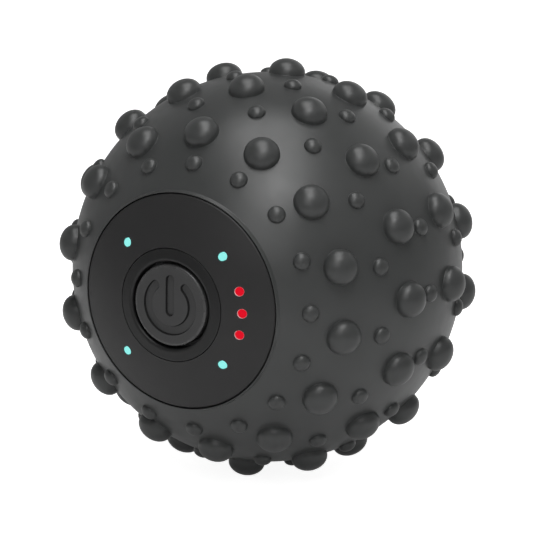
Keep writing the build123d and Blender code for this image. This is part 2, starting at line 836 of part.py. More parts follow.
# ================================================================ chassis, clamp and mountings
saddle_x = 7.5
saddle_width = 7.0
isolator_radius = motor_radius + 1.2
isolator_length = 6.4
saddle_radius = isolator_radius + 0.1
saddle_z = 24.4
clamp_screw_z = 20.4
clamp_ear = 4.0
clamp_wall = 2.4
clamp_screw_places = [
    (x, z) for x in (-saddle_x, saddle_x) for z in (-clamp_screw_z, clamp_screw_z)
]
clamp_pilot_depth = 14.0
cradle_x = 25.0
cradle_height = 10.0
window_places = ((-37.5, 0), (37.5, 0))
retainer_half_width = 11.0
retainer_screw_places = [(x, z) for x in (-7, 7) for z in (-24, 24)]

with BuildPart() as chassis:
    with BuildSketch(rear(chassis_y)):
        Circle(chassis_radius)
        with Locations(*round_places(shell_boss_circle, shell_boss_bearings)):
            Circle(shell_boss_radius + 0.4, mode=Mode.SUBTRACT)
        with Locations(*round_places(chassis_post_circle, chassis_post_bearings)):
            Circle(shell_screw_clearance, mode=Mode.SUBTRACT)
        with Locations(*window_places):
            RectangleRounded(13, 26, 3, mode=Mode.SUBTRACT)
        with Locations(*retainer_screw_places):
            Circle(cap_screw_pilot, mode=Mode.SUBTRACT)
    extrude(amount=chassis_wall)
    # Saddles under the motor, on the panel's side.
    with BuildSketch(front(-chassis_y)):
        with Locations((-saddle_x, 0), (saddle_x, 0)):
            Rectangle(saddle_width, 2 * saddle_z)
    extrude(amount=chassis_y - motor_y)
    with BuildSketch(across(-30)):
        Circle(saddle_radius)
    extrude(amount=60, mode=Mode.SUBTRACT)
    with BuildSketch(front(-motor_y - clamp_pilot_depth)):
        with Locations(*clamp_screw_places):
            Circle(shell_screw_pilot)
    extrude(amount=clamp_pilot_depth, mode=Mode.SUBTRACT)
    # Cradle ribs under the cells, on the charging side.
    with BuildSketch(rear(chassis_back_y)):
        with Locations((-cradle_x, 0), (cradle_x, 0)):
            Rectangle(3, 42)
    extrude(amount=cradle_height)
    with BuildSketch(Plane.YZ.offset(-30)):
        with Locations((cell_y, -cell_z), (cell_y, cell_z)):
            Circle(cell_radius + 0.1)
    extrude(amount=60, mode=Mode.SUBTRACT)
chassis.part.label = "chassis"
export_step(chassis.part, "parts/chassis.step")

chassis_screw_head = 2.9
chassis_screw_head_height = 2.0
chassis_screw_length = 9.5
with BuildPart() as chassis_screws:
    with BuildSketch(rear(chassis_y)):
        with Locations(*round_places(chassis_post_circle, chassis_post_bearings)):
            Circle(chassis_screw_head)
    extrude(amount=-chassis_screw_head_height)
    with BuildSketch(rear(chassis_y)):
        with Locations(*round_places(chassis_post_circle, chassis_post_bearings)):
            Circle(cap_screw_shank)
    extrude(amount=chassis_screw_length)
chassis_screws.part.label = "chassis_screws"
export_step(chassis_screws.part, "parts/chassis_screws.step")

with BuildPart() as motor_clamp:
    with BuildSketch(across(-saddle_x - saddle_width / 2)):
        Circle(saddle_radius + clamp_wall)
        with Locations((-clamp_ear / 2, 0)):
            Rectangle(clamp_ear, 2 * saddle_z)
        Circle(saddle_radius, mode=Mode.SUBTRACT)
        with Locations((25, 0)):
            Rectangle(50, 60, mode=Mode.SUBTRACT)
    extrude(amount=2 * saddle_x + saddle_width)
    with BuildSketch(front(-motor_y)):
        with Locations(*clamp_screw_places):
            Circle(shell_screw_clearance)
    extrude(amount=clamp_ear, mode=Mode.SUBTRACT)
motor_clamp.part.label = "motor_clamp"
export_step(motor_clamp.part, "parts/motor_clamp.step")

clamp_screw_length = 14.0
with BuildPart() as clamp_screws:
    with BuildSketch(front(-motor_y + clamp_ear)):
        with Locations(*clamp_screw_places):
            Circle(shell_screw_head)
    extrude(amount=shell_screw_head_height)
    with BuildSketch(front(-motor_y + clamp_ear)):
        with Locations(*clamp_screw_places):
            Circle(shell_screw_shank)
    extrude(amount=-clamp_screw_length)
clamp_screws.part.label = "clamp_screws"
export_step(clamp_screws.part, "parts/clamp_screws.step")

with BuildPart() as motor_isolators:
    for centre in (-saddle_x, saddle_x):
        with BuildSketch(across(centre - isolator_length / 2)):
            Circle(isolator_radius)
            Circle(motor_radius + 0.05, mode=Mode.SUBTRACT)
        extrude(amount=isolator_length)
motor_isolators.part.label = "motor_isolators"
export_step(motor_isolators.part, "parts/motor_isolators.step")

# ================================================================ cells
with BuildPart() as battery_cells:
    with BuildSketch(Plane.YZ.offset(-cell_length / 2)):
        with Locations((cell_y, -cell_z), (cell_y, cell_z)):
            Circle(cell_radius)
    extrude(amount=cell_length)
    fillet(battery_cells.edges().filter_by(GeomType.CIRCLE), 0.6)
battery_cells.part.label = "battery_cells"
export_step(battery_cells.part, "parts/battery_cells.step")

tab_front_y = 15.0
tab_thickness = 0.4
tab_x = -cell_length / 2 - tab_thickness / 2
with BuildPart() as cell_tabs:
    with BuildSketch(Plane.YZ.offset(cell_length / 2)):
        with Locations((cell_y, 0)):
            Rectangle(6, 25)
    extrude(amount=tab_thickness)
    with BuildSketch(Plane.YZ.offset(-cell_length / 2)):
        with Locations((tab_front_y + 6.5, -cell_z), (tab_front_y + 6.5, cell_z)):
            Rectangle(13, 5)
    extrude(amount=-tab_thickness)
cell_tabs.part.label = "cell_tabs"
export_step(cell_tabs.part, "parts/cell_tabs.step")

retainer_back_y = cell_y + cell_radius + 2.2
retainer_wall = 2.0
retainer_foot = 2.5
retainer_inner_z = 19.0
retainer_outer_z = 21.0
retainer_edge_z = 27.5
with BuildPart() as cell_retainer:
    with BuildSketch(Plane.YZ.offset(-retainer_half_width)):
        with BuildLine():
            Polyline(
                (chassis_back_y, -retainer_edge_z),
                (chassis_back_y, -retainer_inner_z),
                (retainer_back_y - retainer_wall, -retainer_inner_z),
                (retainer_back_y - retainer_wall, retainer_inner_z),
                (chassis_back_y, retainer_inner_z),
                (chassis_back_y, retainer_edge_z),
                (chassis_back_y + retainer_foot, retainer_edge_z),
                (chassis_back_y + retainer_foot, retainer_outer_z),
                (retainer_back_y, retainer_outer_z),
                (retainer_back_y, -retainer_outer_z),
                (chassis_back_y + retainer_foot, -retainer_outer_z),
                (chassis_back_y + retainer_foot, -retainer_edge_z),
                close=True,
            )
        make_face()
    extrude(amount=2 * retainer_half_width)
    with BuildSketch(rear(chassis_back_y)):
        with Locations(*retainer_screw_places):
            Circle(cap_screw_clearance)
    extrude(amount=retainer_foot, mode=Mode.SUBTRACT)
cell_retainer.part.label = "cell_retainer"
export_step(cell_retainer.part, "parts/cell_retainer.step")

retainer_screw_length = 4.8
with BuildPart() as retainer_screws:
    with BuildSketch(rear(chassis_back_y + retainer_foot)):
        with Locations(*retainer_screw_places):
            Circle(cap_screw_head)
    extrude(amount=cap_screw_head_height)
    with BuildSketch(rear(chassis_back_y + retainer_foot)):
        with Locations(*retainer_screw_places):
            Circle(cap_screw_shank)
    extrude(amount=-retainer_screw_length)
retainer_screws.part.label = "retainer_screws"
export_step(retainer_screws.part, "parts/retainer_screws.step")

# ================================================================ charging end
socket_width = 8.94
socket_thickness = 3.26
socket_mouth_y = cover_apex - 0.5
socket_length = 7.0
charging_board_top_z = -socket_thickness / 2
charging_board_thickness = 1.2
cover_post_height = 5.0
mouth_gap = 0.5
grip_width = 3.4
grip_depth = 0.6
socket_wall = 0.35
socket_floor = 0.6

cover_wall = cap_profile(1, cover_dome_radius, cover_apex, 0)
with BuildPart() as charging_cover:
    revolve(cover_wall, axis=Axis.Y)
    with BuildSketch(rear(deck_depth)):
        with PolarLocations(cap_post_circle, cap_screw_count):
            Circle(cap_post_radius)
    extrude(amount=cover_post_height)
    with BuildSketch(rear(deck_depth)):
        with PolarLocations(cap_post_circle, cap_screw_count):
            Circle(cap_screw_pilot)
    extrude(amount=cap_pilot_depth, mode=Mode.SUBTRACT)
    # Mouth round the charging socket, wider at the outer face for the plug's grip.
    with BuildSketch(rear(deck_depth)):
        SlotOverall(socket_width + mouth_gap, socket_thickness + mouth_gap)
    extrude(amount=cap_cut_reach, mode=Mode.SUBTRACT)
    with BuildSketch(rear(cover_apex - grip_depth)):
        SlotOverall(socket_width + grip_width, socket_thickness + grip_width)
    extrude(amount=2, mode=Mode.SUBTRACT)
charging_cover.part.label = "charging_cover"
export_step(charging_cover.part, "parts/charging_cover.step")

with BuildPart() as cover_gasket:
    with BuildSketch(rear(deck_depth)):
        Circle(cap_radius - gasket_edge_gap)
        Circle(cap_rim_inner_radius + gasket_edge_gap, mode=Mode.SUBTRACT)
    extrude(amount=gasket_thickness)
cover_gasket.part.label = "cover_gasket"
export_step(cover_gasket.part, "parts/cover_gasket.step")

with BuildPart() as cover_screws:
    with BuildSketch(rear(deck_inner_depth - cap_screw_head_height)):
        with PolarLocations(cap_post_circle, cap_screw_count):
            Circle(cap_screw_head)
    extrude(amount=cap_screw_head_height)
    with BuildSketch(rear(deck_inner_depth)):
        with PolarLocations(cap_post_circle, cap_screw_count):
            Circle(cap_screw_shank)
    extrude(amount=cap_screw_length)
cover_screws.part.label = "cover_screws"
export_step(cover_screws.part, "parts/cover_screws.step")

with BuildPart() as charging_socket:
    with BuildSketch(rear(socket_mouth_y - socket_length)):
        SlotOverall(socket_width, socket_thickness)
    extrude(amount=socket_length)
    with BuildSketch(rear(socket_mouth_y - socket_length + socket_floor)):
        SlotOverall(socket_width - 2 * socket_wall, socket_thickness - 2 * socket_wall)
    extrude(amount=socket_length, mode=Mode.SUBTRACT)
charging_socket.part.label = "charging_socket"
export_step(charging_socket.part, "parts/charging_socket.step")

tongue_width = 6.6
tongue_thickness = 0.7
with BuildPart() as socket_tongue:
    with BuildSketch(rear(socket_mouth_y - socket_length + socket_floor)):
        Rectangle(tongue_width, tongue_thickness)
    extrude(amount=socket_length - 2 * socket_floor)
socket_tongue.part.label = "socket_tongue"
export_step(socket_tongue.part, "parts/socket_tongue.step")

charging_board_start_y = 37.5
charging_board_end_y = 54.5
charging_board_width = 16.0
with BuildPart() as charging_board:
    with BuildSketch(Plane.XY.offset(charging_board_top_z - charging_board_thickness)):
        with Locations((0, (charging_board_start_y + charging_board_end_y) / 2)):
            Rectangle(charging_board_width, charging_board_end_y - charging_board_start_y)
        with Locations((-ledge_x, ledge_screw_y), (ledge_x, ledge_screw_y)):
            Circle(small_screw_clearance, mode=Mode.SUBTRACT)
    extrude(amount=charging_board_thickness)
charging_board.part.label = "charging_board"
export_step(charging_board.part, "parts/charging_board.step")

small_screw_length = 4.0
with BuildPart() as charging_board_screws:
    with BuildSketch(Plane.XY.offset(charging_board_top_z)):
        with Locations((-ledge_x, ledge_screw_y), (ledge_x, ledge_screw_y)):
            Circle(small_screw_head)
    extrude(amount=small_screw_head_height)
    with BuildSketch(Plane.XY.offset(charging_board_top_z)):
        with Locations((-ledge_x, ledge_screw_y), (ledge_x, ledge_screw_y)):
            Circle(small_screw_shank)
    extrude(amount=-small_screw_length)
charging_board_screws.part.label = "charging_board_screws"
export_step(charging_board_screws.part, "parts/charging_board_screws.step")

# ================================================================ internal leads
lead_end_y = -(plug_depth - plug_height)
wire_pitch = 2.5
terminal_x = bell_right + 1.2
terminal_edge_y = terminal_y - 1.25
tab_edge_y = tab_front_y - 0.05
board_edge_x = -8.05
board_middle_z = charging_board_top_z - charging_board_thickness / 2

motor_lead_routes = (
    (
        (terminal_x, terminal_edge_y, terminal_z),
        (terminal_x, -25, 5),
        (14.5, -32.5, 8),
        (motor_socket[0], -34, motor_socket[1] + wire_pitch / 2),
        (motor_socket[0], lead_end_y, motor_socket[1] + wire_pitch / 2),
    ),
    (
        (terminal_x, terminal_edge_y, -terminal_z),
        (terminal_x, -26, -3),
        (14.5, -33, 3),
        (motor_socket[0], -34.5, motor_socket[1] - wire_pitch / 2),
        (motor_socket[0], lead_end_y, motor_socket[1] - wire_pitch / 2),
    ),
)
cell_lead_routes = (
    (
        (tab_x, tab_edge_y, 8),
        (tab_x, 5, 8),
        (-36.5, -14, 6.5),
        (-23, -33, 5),
        (cell_socket[0], -34.5, cell_socket[1] + wire_pitch / 2),
        (cell_socket[0], lead_end_y, cell_socket[1] + wire_pitch / 2),
    ),
    (
        (tab_x, tab_edge_y, -8),
        (tab_x, 5, -8),
        (-36.5, -14, -5.5),
        (-23, -33, -2),
        (cell_socket[0], -34.5, cell_socket[1] - wire_pitch / 2),
        (cell_socket[0], lead_end_y, cell_socket[1] - wire_pitch / 2),
    ),
)
charge_lead_routes = (
    (
        (board_edge_x, 39.5, board_middle_z),
        (-16, 39.5, board_middle_z),
        (-27, 39.5, -5),
        (-39.5, 32, -8),
        (-41, 12, -9),
        (-40, -14, -9),
        (-26, -32, -8.5),
        (charge_socket[0], -34.5, charge_socket[1] + wire_pitch / 2),
        (charge_socket[0], lead_end_y, charge_socket[1] + wire_pitch / 2),
    ),
    (
        (board_edge_x, 42, board_middle_z),
        (-16, 42, board_middle_z),
        (-27, 41.5, -7.5),
        (-40, 32.5, -10.5),
        (-41, 12, -11.5),
        (-40, -14, -11.5),
        (-26, -32, -11),
        (charge_socket[0], -34.5, charge_socket[1] - wire_pitch / 2),
        (charge_socket[0], lead_end_y, charge_socket[1] - wire_pitch / 2),
    ),
)


def lead_set(routes):
    """Round leads swept along straight runs joined by tangent arcs."""
    with BuildPart() as leads:
        for points in routes:
            radii = arc_radii(points)
            with BuildLine() as route:
                FilletPolyline(*points, radius=radii)
            path = route.wires()[0]
            with BuildSketch(Plane(path @ 0, z_dir=path % 0)):
                Circle(lead_radius)
            sweep(path=path)
            print("lead length", round(path.length, 1), "arc radii", [round(r, 1) for r in radii])
    return leads


motor_leads = lead_set(motor_lead_routes)
motor_leads.part.label = "motor_leads"
export_step(motor_leads.part, "parts/motor_leads.step")

cell_leads = lead_set(cell_lead_routes)
cell_leads.part.label = "cell_leads"
export_step(cell_leads.part, "parts/cell_leads.step")

charge_leads = lead_set(charge_lead_routes)
charge_leads.part.label = "charge_leads"
export_step(charge_leads.part, "parts/charge_leads.step")
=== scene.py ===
"""Studded massage ball: silicone sleeve, control panel, power button, light windows and charging end.

Every size is in metres in the assembly's own frame. The ball's centre is the origin, its axis lies
along Y, the control panel faces -Y and +Z is up. "Depth" is the distance from the centre along the
axis, and a bearing goes round the axis from +X towards +Z.
"""

import bpy
import numpy as np
from bpy.props import FloatProperty, FloatVectorProperty, IntProperty, PointerProperty
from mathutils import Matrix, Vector


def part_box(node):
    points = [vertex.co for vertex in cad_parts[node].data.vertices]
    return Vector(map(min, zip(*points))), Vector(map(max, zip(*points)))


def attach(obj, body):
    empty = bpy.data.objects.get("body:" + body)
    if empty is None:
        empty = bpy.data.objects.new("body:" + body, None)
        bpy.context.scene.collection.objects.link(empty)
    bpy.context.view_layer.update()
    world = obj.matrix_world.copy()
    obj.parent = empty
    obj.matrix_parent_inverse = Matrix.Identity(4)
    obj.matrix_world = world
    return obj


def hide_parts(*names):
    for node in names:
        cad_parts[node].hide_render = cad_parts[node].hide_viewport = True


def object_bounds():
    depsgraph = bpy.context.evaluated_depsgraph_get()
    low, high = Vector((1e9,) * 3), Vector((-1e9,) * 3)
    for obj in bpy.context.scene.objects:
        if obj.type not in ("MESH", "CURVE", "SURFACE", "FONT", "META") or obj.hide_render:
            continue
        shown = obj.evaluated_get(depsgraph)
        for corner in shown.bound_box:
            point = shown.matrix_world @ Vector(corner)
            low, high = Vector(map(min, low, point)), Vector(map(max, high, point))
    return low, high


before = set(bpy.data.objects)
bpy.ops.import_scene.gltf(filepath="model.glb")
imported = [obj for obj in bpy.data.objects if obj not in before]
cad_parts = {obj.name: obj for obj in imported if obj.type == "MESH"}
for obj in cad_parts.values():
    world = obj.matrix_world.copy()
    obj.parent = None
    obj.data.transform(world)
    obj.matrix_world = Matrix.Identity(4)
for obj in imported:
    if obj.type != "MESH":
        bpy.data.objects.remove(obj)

bl_info = {
    "name": "Massage Ball",
    "version": (1, 0, 0),
    "blender": (4, 5, 0),
    "location": "View3D > Sidebar > Massage Ball",
    "description": "Builds the visible pieces and finishes of a studded massage ball",
    "category": "Add Mesh",
}

MM = 0.001
cad_low, cad_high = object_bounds()
shell_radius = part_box("front_shell")[1].x
cap_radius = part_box("control_panel")[1].x
sleeve_gap = 0.2 * MM
sleeve_wall = 3.0 * MM
floor_height = cad_low.z
skin_columns = 288
button_columns = 384
satin_grain, satin_relief = 0.3 * MM, 0.004 * MM

# Each ring of studs: size, angle from the panel's pole and number round the ring, first bearing.
STUD_RINGS = (
    ("small", 44.5, 16, 0.0),
    ("large", 55.3, 14, -9.9),
    ("small", 68.3, 16, 12.4),
    ("large", 78.4, 16, 0.0),
    ("small", 88.0, 18, 0.0),
    ("large", 101.0, 16, 0.0),
    ("small", 110.0, 16, 12.4),
    ("large", 124.0, 14, -9.9),
    ("small", 135.5, 16, 0.0),
)
SPEED_BEARINGS = (45.0, 135.0, 225.0, 315.0)
BATTERY_BEARINGS = (-16.5, 0.0, 16.5)
POST_BEARINGS = (0.0, 90.0, 180.0, 270.0)

# Each soft light: name, degrees to the right of the camera, degrees of height over the camera's
# axis, width of the square in metres, power in watts.
SOFT_LIGHTS = (
    ("front_light", 8.0, 50.0, 0.4, 1.48),
    ("top_light", 0.0, 80.0, 0.4, 1.87),
    ("low_front_light", -4.0, 20.0, 0.4, 0.78),
    ("key_light", 7.0, 45.0, 0.2, 0.53),
    ("right_light", 60.0, 45.0, 0.4, 0.16),
    ("rim_light", 115.0, 42.0, 0.4, 0.16),
    ("back_light", 155.0, 25.0, 0.4, 0.34),
)


# ---------------------------------------------------------------- settings
def length(name, description, default):
    """A length property in metres."""
    return FloatProperty(
        name=name, description=description, default=default, min=0.0, precision=5,
        subtype="DISTANCE", unit="LENGTH",
    )


def colour(name, description, default):
    """A linear RGB colour property."""
    return FloatVectorProperty(
        name=name, description=description, default=default, size=3, min=0.0, max=1.0,
        subtype="COLOR",
    )


def factor(name, description, default):
    """A property from 0 to 1."""
    return FloatProperty(
        name=name, description=description, default=default, min=0.0, max=1.0, subtype="FACTOR"
    )


class SleeveSettings(bpy.types.PropertyGroup):
    """Sizes and colour of the studded sleeve."""

    ball_radius: length(
        "Ball Radius", "Radius of the sleeve between its studs", shell_radius + sleeve_gap + sleeve_wall
    )
    opening_radius: length("Opening Radius", "Radius of either opening", cap_radius + 0.35 * MM)
    lip_height: length("Lip Height", "How far the lip round an opening stands out", 1.25 * MM)
    large_radius: length("Large Stud Radius", "Radius of a large stud at its foot", 5.85 * MM)
    large_height: length("Large Stud Height", "Height of a large stud", 4.8 * MM)
    small_radius: length("Small Stud Radius", "Radius of a small stud at its foot", 2.92 * MM)
    small_height: length("Small Stud Height", "Height of a small stud", 2.2 * MM)
    tint: colour("Silicone Tint", "Colour of the silicone", (0.0395, 0.0412, 0.0408))


class ControlSettings(bpy.types.PropertyGroup):
    """Sizes and colours of the panel, ring, button and light windows."""

    dome_radius: length("Panel Dome", "Radius of the panel's domed face", 75.0 * MM)
    panel_apex: length("Panel Apex", "Depth at which the panel's dome would peak", 59.9 * MM)
    ring_radius: length("Ring Radius", "Outer radius of the ring round the button", 18.2 * MM)
    ring_roll: length("Ring Roll", "Radius of the roll at the ring's inner edge", 1.0 * MM)
    button_radius: length("Button Radius", "Radius of the button's face", 13.2 * MM)
    button_depth: length("Button Depth", "Depth of the middle of the button's face", 58.7 * MM)
    button_crown: length("Button Crown", "How far the button's face falls to its edge", 0.4 * MM)
    sign_radius: length("Sign Radius", "Middle radius of the power sign's ring", 8.15 * MM)
    sign_width: length("Sign Width", "Width of the engraved groove", 2.8 * MM)
    sign_depth: length("Sign Depth", "Depth of the engraving", 0.8 * MM)
    light_circle: length("Light Circle", "Radius on which the light windows stand", 24.9 * MM)
    light_radius: length("Light Radius", "Radius of a light window", 1.5 * MM)
    panel_tint: colour("Panel", "Colour of the panel", (0.0195, 0.0190, 0.0193))
    ring_tint: colour("Ring", "Colour of the ring round the button", (0.0090, 0.0090, 0.0092))
    button_tint: colour("Button", "Colour of the button", (0.044, 0.044, 0.0445))
    speed_light: colour("Speed Lights", "Colour of the speed lights", (0.30, 0.95, 0.89))
    battery_light: colour("Battery Lights", "Colour of the battery lights", (0.78, 0.002, 0.017))


class ChargingSettings(bpy.types.PropertyGroup):
    """Sizes and colour of the charging cover and its socket."""

    dome_radius: length("Cover Dome", "Radius of the cover's domed face", 84.5 * MM)
    cover_apex: length("Cover Apex", "Depth at which the cover's dome peaks", 58.7 * MM)
    mouth_width: length("Mouth Width", "Width of the opening round the socket", 9.44 * MM)
    mouth_height: length("Mouth Height", "Height of the opening round the socket", 3.76 * MM)
    socket_width: length("Socket Width", "Outer width of the socket's shell", 8.94 * MM)
    socket_height: length("Socket Height", "Outer height of the socket's shell", 3.26 * MM)
    cover_tint: colour("Cover", "Colour of the charging cover", (0.0195, 0.0190, 0.0193))


class StudioSettings(bpy.types.PropertyGroup):
    """Camera, lights and backdrop."""

    azimuth: FloatProperty(
        name="Azimuth", description="Camera's bearing from -Y towards +X", default=np.radians(31.7),
        subtype="ANGLE", unit="ROTATION",
    )
    elevation: FloatProperty(
        name="Elevation", description="Camera's height above the horizon",
        default=np.radians(14.25), subtype="ANGLE", unit="ROTATION",
    )
    view_width: length("View Width", "Width of the camera's view", 168.1 * MM)
    light_distance: length("Light Distance", "Distance of each soft light from the ball", 0.7)
    light_level: FloatProperty(
        name="Light Level", description="Share of each soft light's power", default=1.0, min=0.0
    )
    backdrop_glow: factor("Backdrop Glow", "Light that the pale backdrop gives off", 0.9)
    bounce_glow: factor("Bounce Glow", "Even light that the floor and walls give the ball", 0.13)
    sky_level: factor("Sky Level", "Strength of the light from overhead", 0.018)
    round_steps: IntProperty(
        name="Round Steps", description="Columns round the backdrop", default=96, min=12
    )


# ---------------------------------------------------------------- surfaces
def dome_depth(radius, dome, apex):
    """Depth of a spherical dome at a radius from the axis: its centre's depth plus the leg
    sqrt(dome^2 - radius^2)."""
    return apex - dome + np.sqrt(dome**2 - radius**2)


def smooth_step(share):
    """A share from 0 to 1 eased at both ends: 3 share^2 - 2 share^3."""
    return share * share * (3 - 2 * share)


def rounded(corners, steps=5, closed=False):
    """Path through corners of (radius, depth, rounding), each corner turned into a tangent arc.

    The arc's centre stands rounding / sin(half angle) from the corner along the bisector, and the
    arc runs between the two tangent points by the sine formula for turning one arm into the other.
    A support point stands just outside each end of an arc. An open path keeps its two end points.
    """
    rows = np.asarray(corners, float)
    points, radii = rows[:, :2], rows[:, 2]
    before, after = np.roll(points, 1, axis=0), np.roll(points, -1, axis=0)
    if not closed:
        before, after = points[:-2], points[2:]
        points, radii = points[1:-1], radii[1:-1]
    back = before - points
    ahead = after - points
    back /= np.linalg.norm(back, axis=1, keepdims=True)
    ahead /= np.linalg.norm(ahead, axis=1, keepdims=True)
    half = np.arccos(np.clip((back * ahead).sum(1), -1, 1))[:, None] / 2
    reach = radii[:, None] / np.tan(half)
    middle = back + ahead
    middle /= np.linalg.norm(middle, axis=1, keepdims=True)
    centre = points + middle * radii[:, None] / np.sin(half)
    arm_in = points + back * reach - centre
    arm_out = points + ahead * reach - centre
    turn = (np.pi - 2 * half)[:, None]
    share = np.linspace(0, 1, steps)[None, :, None]
    arc = centre[:, None] + (
        arm_in[:, None] * np.sin((1 - share) * turn) + arm_out[:, None] * np.sin(share * turn)
    ) / np.sin(turn)
    support = 1.25
    path = np.concatenate(
        [(points + back * reach * support)[:, None], arc, (points + ahead * reach * support)[:, None]],
        axis=1,
    ).reshape(-1, 2)
    if closed:
        return path
    return np.concatenate([rows[:1, :2], path, rows[-1:, :2]])


def divided(path, longest, closed=False):
    """The same path with each run longer than the given length cut into equal shorter ones."""
    ends = np.roll(path, -1, axis=0)
    runs = ends - path
    if not closed:
        runs = runs[:-1]
    counts = np.maximum(1, np.ceil(np.linalg.norm(runs, axis=1) / longest)).astype(int)
    index = np.repeat(np.arange(len(runs)), counts)
    step = np.arange(len(index)) - np.repeat(np.cumsum(counts) - counts, counts)
    share = (step / counts[index])[:, None]
    cut = path[index] + runs[index] * share
    return cut if closed else np.concatenate([cut, path[-1:]])


def turned(path, columns):
    """Rings of a path of (radius, y) carried round the Y axis: x and z are radius times the cosine
    and sine of the bearing. The array is (rows, columns, 3)."""
    bearing = np.arange(columns) * 2 * np.pi / columns
    radius, y = path[:, 0, None], path[:, 1, None]
    return np.stack(
        [radius * np.cos(bearing), np.broadcast_to(y, (len(path), columns)), radius * np.sin(bearing)],
        axis=-1,
    )


def on_circle(rings, radius, bearings):
    """Copies of one set of rings, one at each bearing on a circle about the Y axis."""
    angle = np.radians(bearings)
    copies = rings[None].repeat(len(angle), axis=0)
    copies[..., 0] += radius * np.cos(angle)[:, None, None]
    copies[..., 2] += radius * np.sin(angle)[:, None, None]
    return copies


def slotted(rows, columns):
    """Rings of rows of (half length, radius, y, ease). A ring with ease 0 is a slot: half circles of
    that radius round two centres a half length either side of the middle. With ease 1 its points
    are spread evenly round a circle, and between the two it passes from one into the other."""
    arc, flat = columns * 3 // 8, columns // 8
    right = np.linspace(-90, 90, arc)
    along = np.linspace(1, -1, flat + 2)[1:-1]
    turn = np.radians(np.concatenate([right, np.full(flat, 90.0), right + 180, np.full(flat, 270.0)]))
    side = np.concatenate([np.ones(arc), along, -np.ones(arc), -along])
    even = np.arange(columns) * 2 * np.pi / columns + turn[0]
    half, radius, y, ease = (np.asarray(rows, float)[:, k, None] for k in range(4))
    angle = turn * (1 - ease) + even * ease
    return np.stack(
        [
            half * side + radius * np.cos(angle),
            np.broadcast_to(y, angle.shape),
            radius * np.sin(angle),
        ],
        axis=-1,
    )


def solid(name, rings, first=None, last=None):
    """Closed mesh over rings of points, an array (copies, rows, columns, 3) or (rows, columns, 3).

    Neighbouring rows and columns are joined by quads and the last column joins the first. An end
    with a pole, (copies, 3), closes on it in triangles; with no poles the last row joins the first.
    The faces are turned so that the volume they enclose is positive, which points them outwards.
    """
    rings = rings if rings.ndim == 4 else rings[None]
    copies, rows, columns, _ = rings.shape
    index = np.arange(copies * rows * columns).reshape(copies, rows, columns)
    beside = np.roll(index, -1, axis=2)
    if first is None:
        below, below_beside = np.roll(index, -1, axis=1), np.roll(beside, -1, axis=1)
        corners = (index, beside, below_beside, below)
    else:
        corners = (index[:, :-1], beside[:, :-1], beside[:, 1:], index[:, 1:])
    quads = np.stack(corners, axis=-1).reshape(-1, 4)
    points = rings.reshape(-1, 3)
    triangles = np.zeros((0, 3), int)
    if first is not None:
        poles = np.concatenate([np.reshape(first, (-1, 3)), np.reshape(last, (-1, 3))])
        top = len(points) + np.broadcast_to(np.arange(copies)[:, None], (copies, columns))
        fans = (
            np.stack([top, beside[:, 0], index[:, 0]], axis=-1),
            np.stack([top + copies, index[:, -1], beside[:, -1]], axis=-1),
        )
        triangles = np.concatenate([fan.reshape(-1, 3) for fan in fans])
        points = np.concatenate([points, poles])
    whole = np.concatenate([quads[:, [0, 1, 2]], quads[:, [0, 2, 3]], triangles])
    a, b, c = (points[whole[:, k]] for k in range(3))
    if (a * np.cross(b, c)).sum() < 0:
        quads, triangles = quads[:, ::-1], triangles[:, ::-1]
    mesh = bpy.data.meshes.new(name)
    mesh.from_pydata(points.tolist(), [], quads.tolist() + triangles.tolist())
    mesh.shade_smooth()
    mesh.update()
    piece = bpy.data.objects.new(name, mesh)
    bpy.context.scene.collection.objects.link(piece)
    return piece


def placed(piece, body, slot_name, materials, *nodes):
    """Gives a piece its materials, its body and the nodes that it stands for. The slot name is not
    used.
    """
    for material in materials:
        piece.data.materials.append(material)
    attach(piece, body)
    if nodes:
        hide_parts(*nodes)


# ---------------------------------------------------------------- finishes
def start_finish(name, tint, roughness, metallic=0.0, specular=0.5):
    """A material with its shader's plain values set and its pattern's coordinates made."""
    material = bpy.data.materials.new(name)
    material.use_nodes = True
    tree = material.node_tree
    shader = tree.nodes["Principled BSDF"]
    shader.inputs["Base Color"].default_value = (*tint, 1.0)
    shader.inputs["Roughness"].default_value = roughness
    shader.inputs["Metallic"].default_value = metallic
    shader.inputs["Specular IOR Level"].default_value = specular
    place = tree.nodes.new("ShaderNodeTexCoord")
    return material, tree, shader, place.outputs["Object"]


def noise(tree, place, size, detail=3.0, rough=0.5):
    """Value of a noise pattern whose features are about the given size."""
    node = tree.nodes.new("ShaderNodeTexNoise")
    node.inputs["Scale"].default_value = 1.0 / size
    node.inputs["Detail"].default_value = detail
    node.inputs["Roughness"].default_value = rough
    tree.links.new(place, node.inputs["Vector"])
    return node.outputs["Fac"]


def stretched(tree, place, scale):
    """Coordinates scaled along X, Y and Z."""
    node = tree.nodes.new("ShaderNodeMapping")
    node.inputs["Scale"].default_value = scale
    tree.links.new(place, node.inputs["Vector"])
    return node.outputs["Vector"]


def ranged(tree, value, low, high, start=0.3, end=0.7):
    """A value spread from its usual range onto low to high."""
    node = tree.nodes.new("ShaderNodeMapRange")
    for socket, number in (("From Min", start), ("From Max", end), ("To Min", low), ("To Max", high)):
        node.inputs[socket].default_value = number
    tree.links.new(value, node.inputs["Value"])
    return node.outputs["Result"]


def blended(tree, value, first, second):
    """Colour that passes from the first to the second as the value goes from 0 to 1."""
    node = tree.nodes.new("ShaderNodeMix")
    node.data_type = "RGBA"
    node.inputs["A"].default_value = (*first, 1.0)
    node.inputs["B"].default_value = (*second, 1.0)
    tree.links.new(value, node.inputs["Factor"])
    return node.outputs["Result"]


def coloured(tree, shader, value, first, second):
    """Gives a shader the colour blended from the first to the second by the value."""
    tree.links.new(blended(tree, value, first, second), shader.inputs["Base Color"])


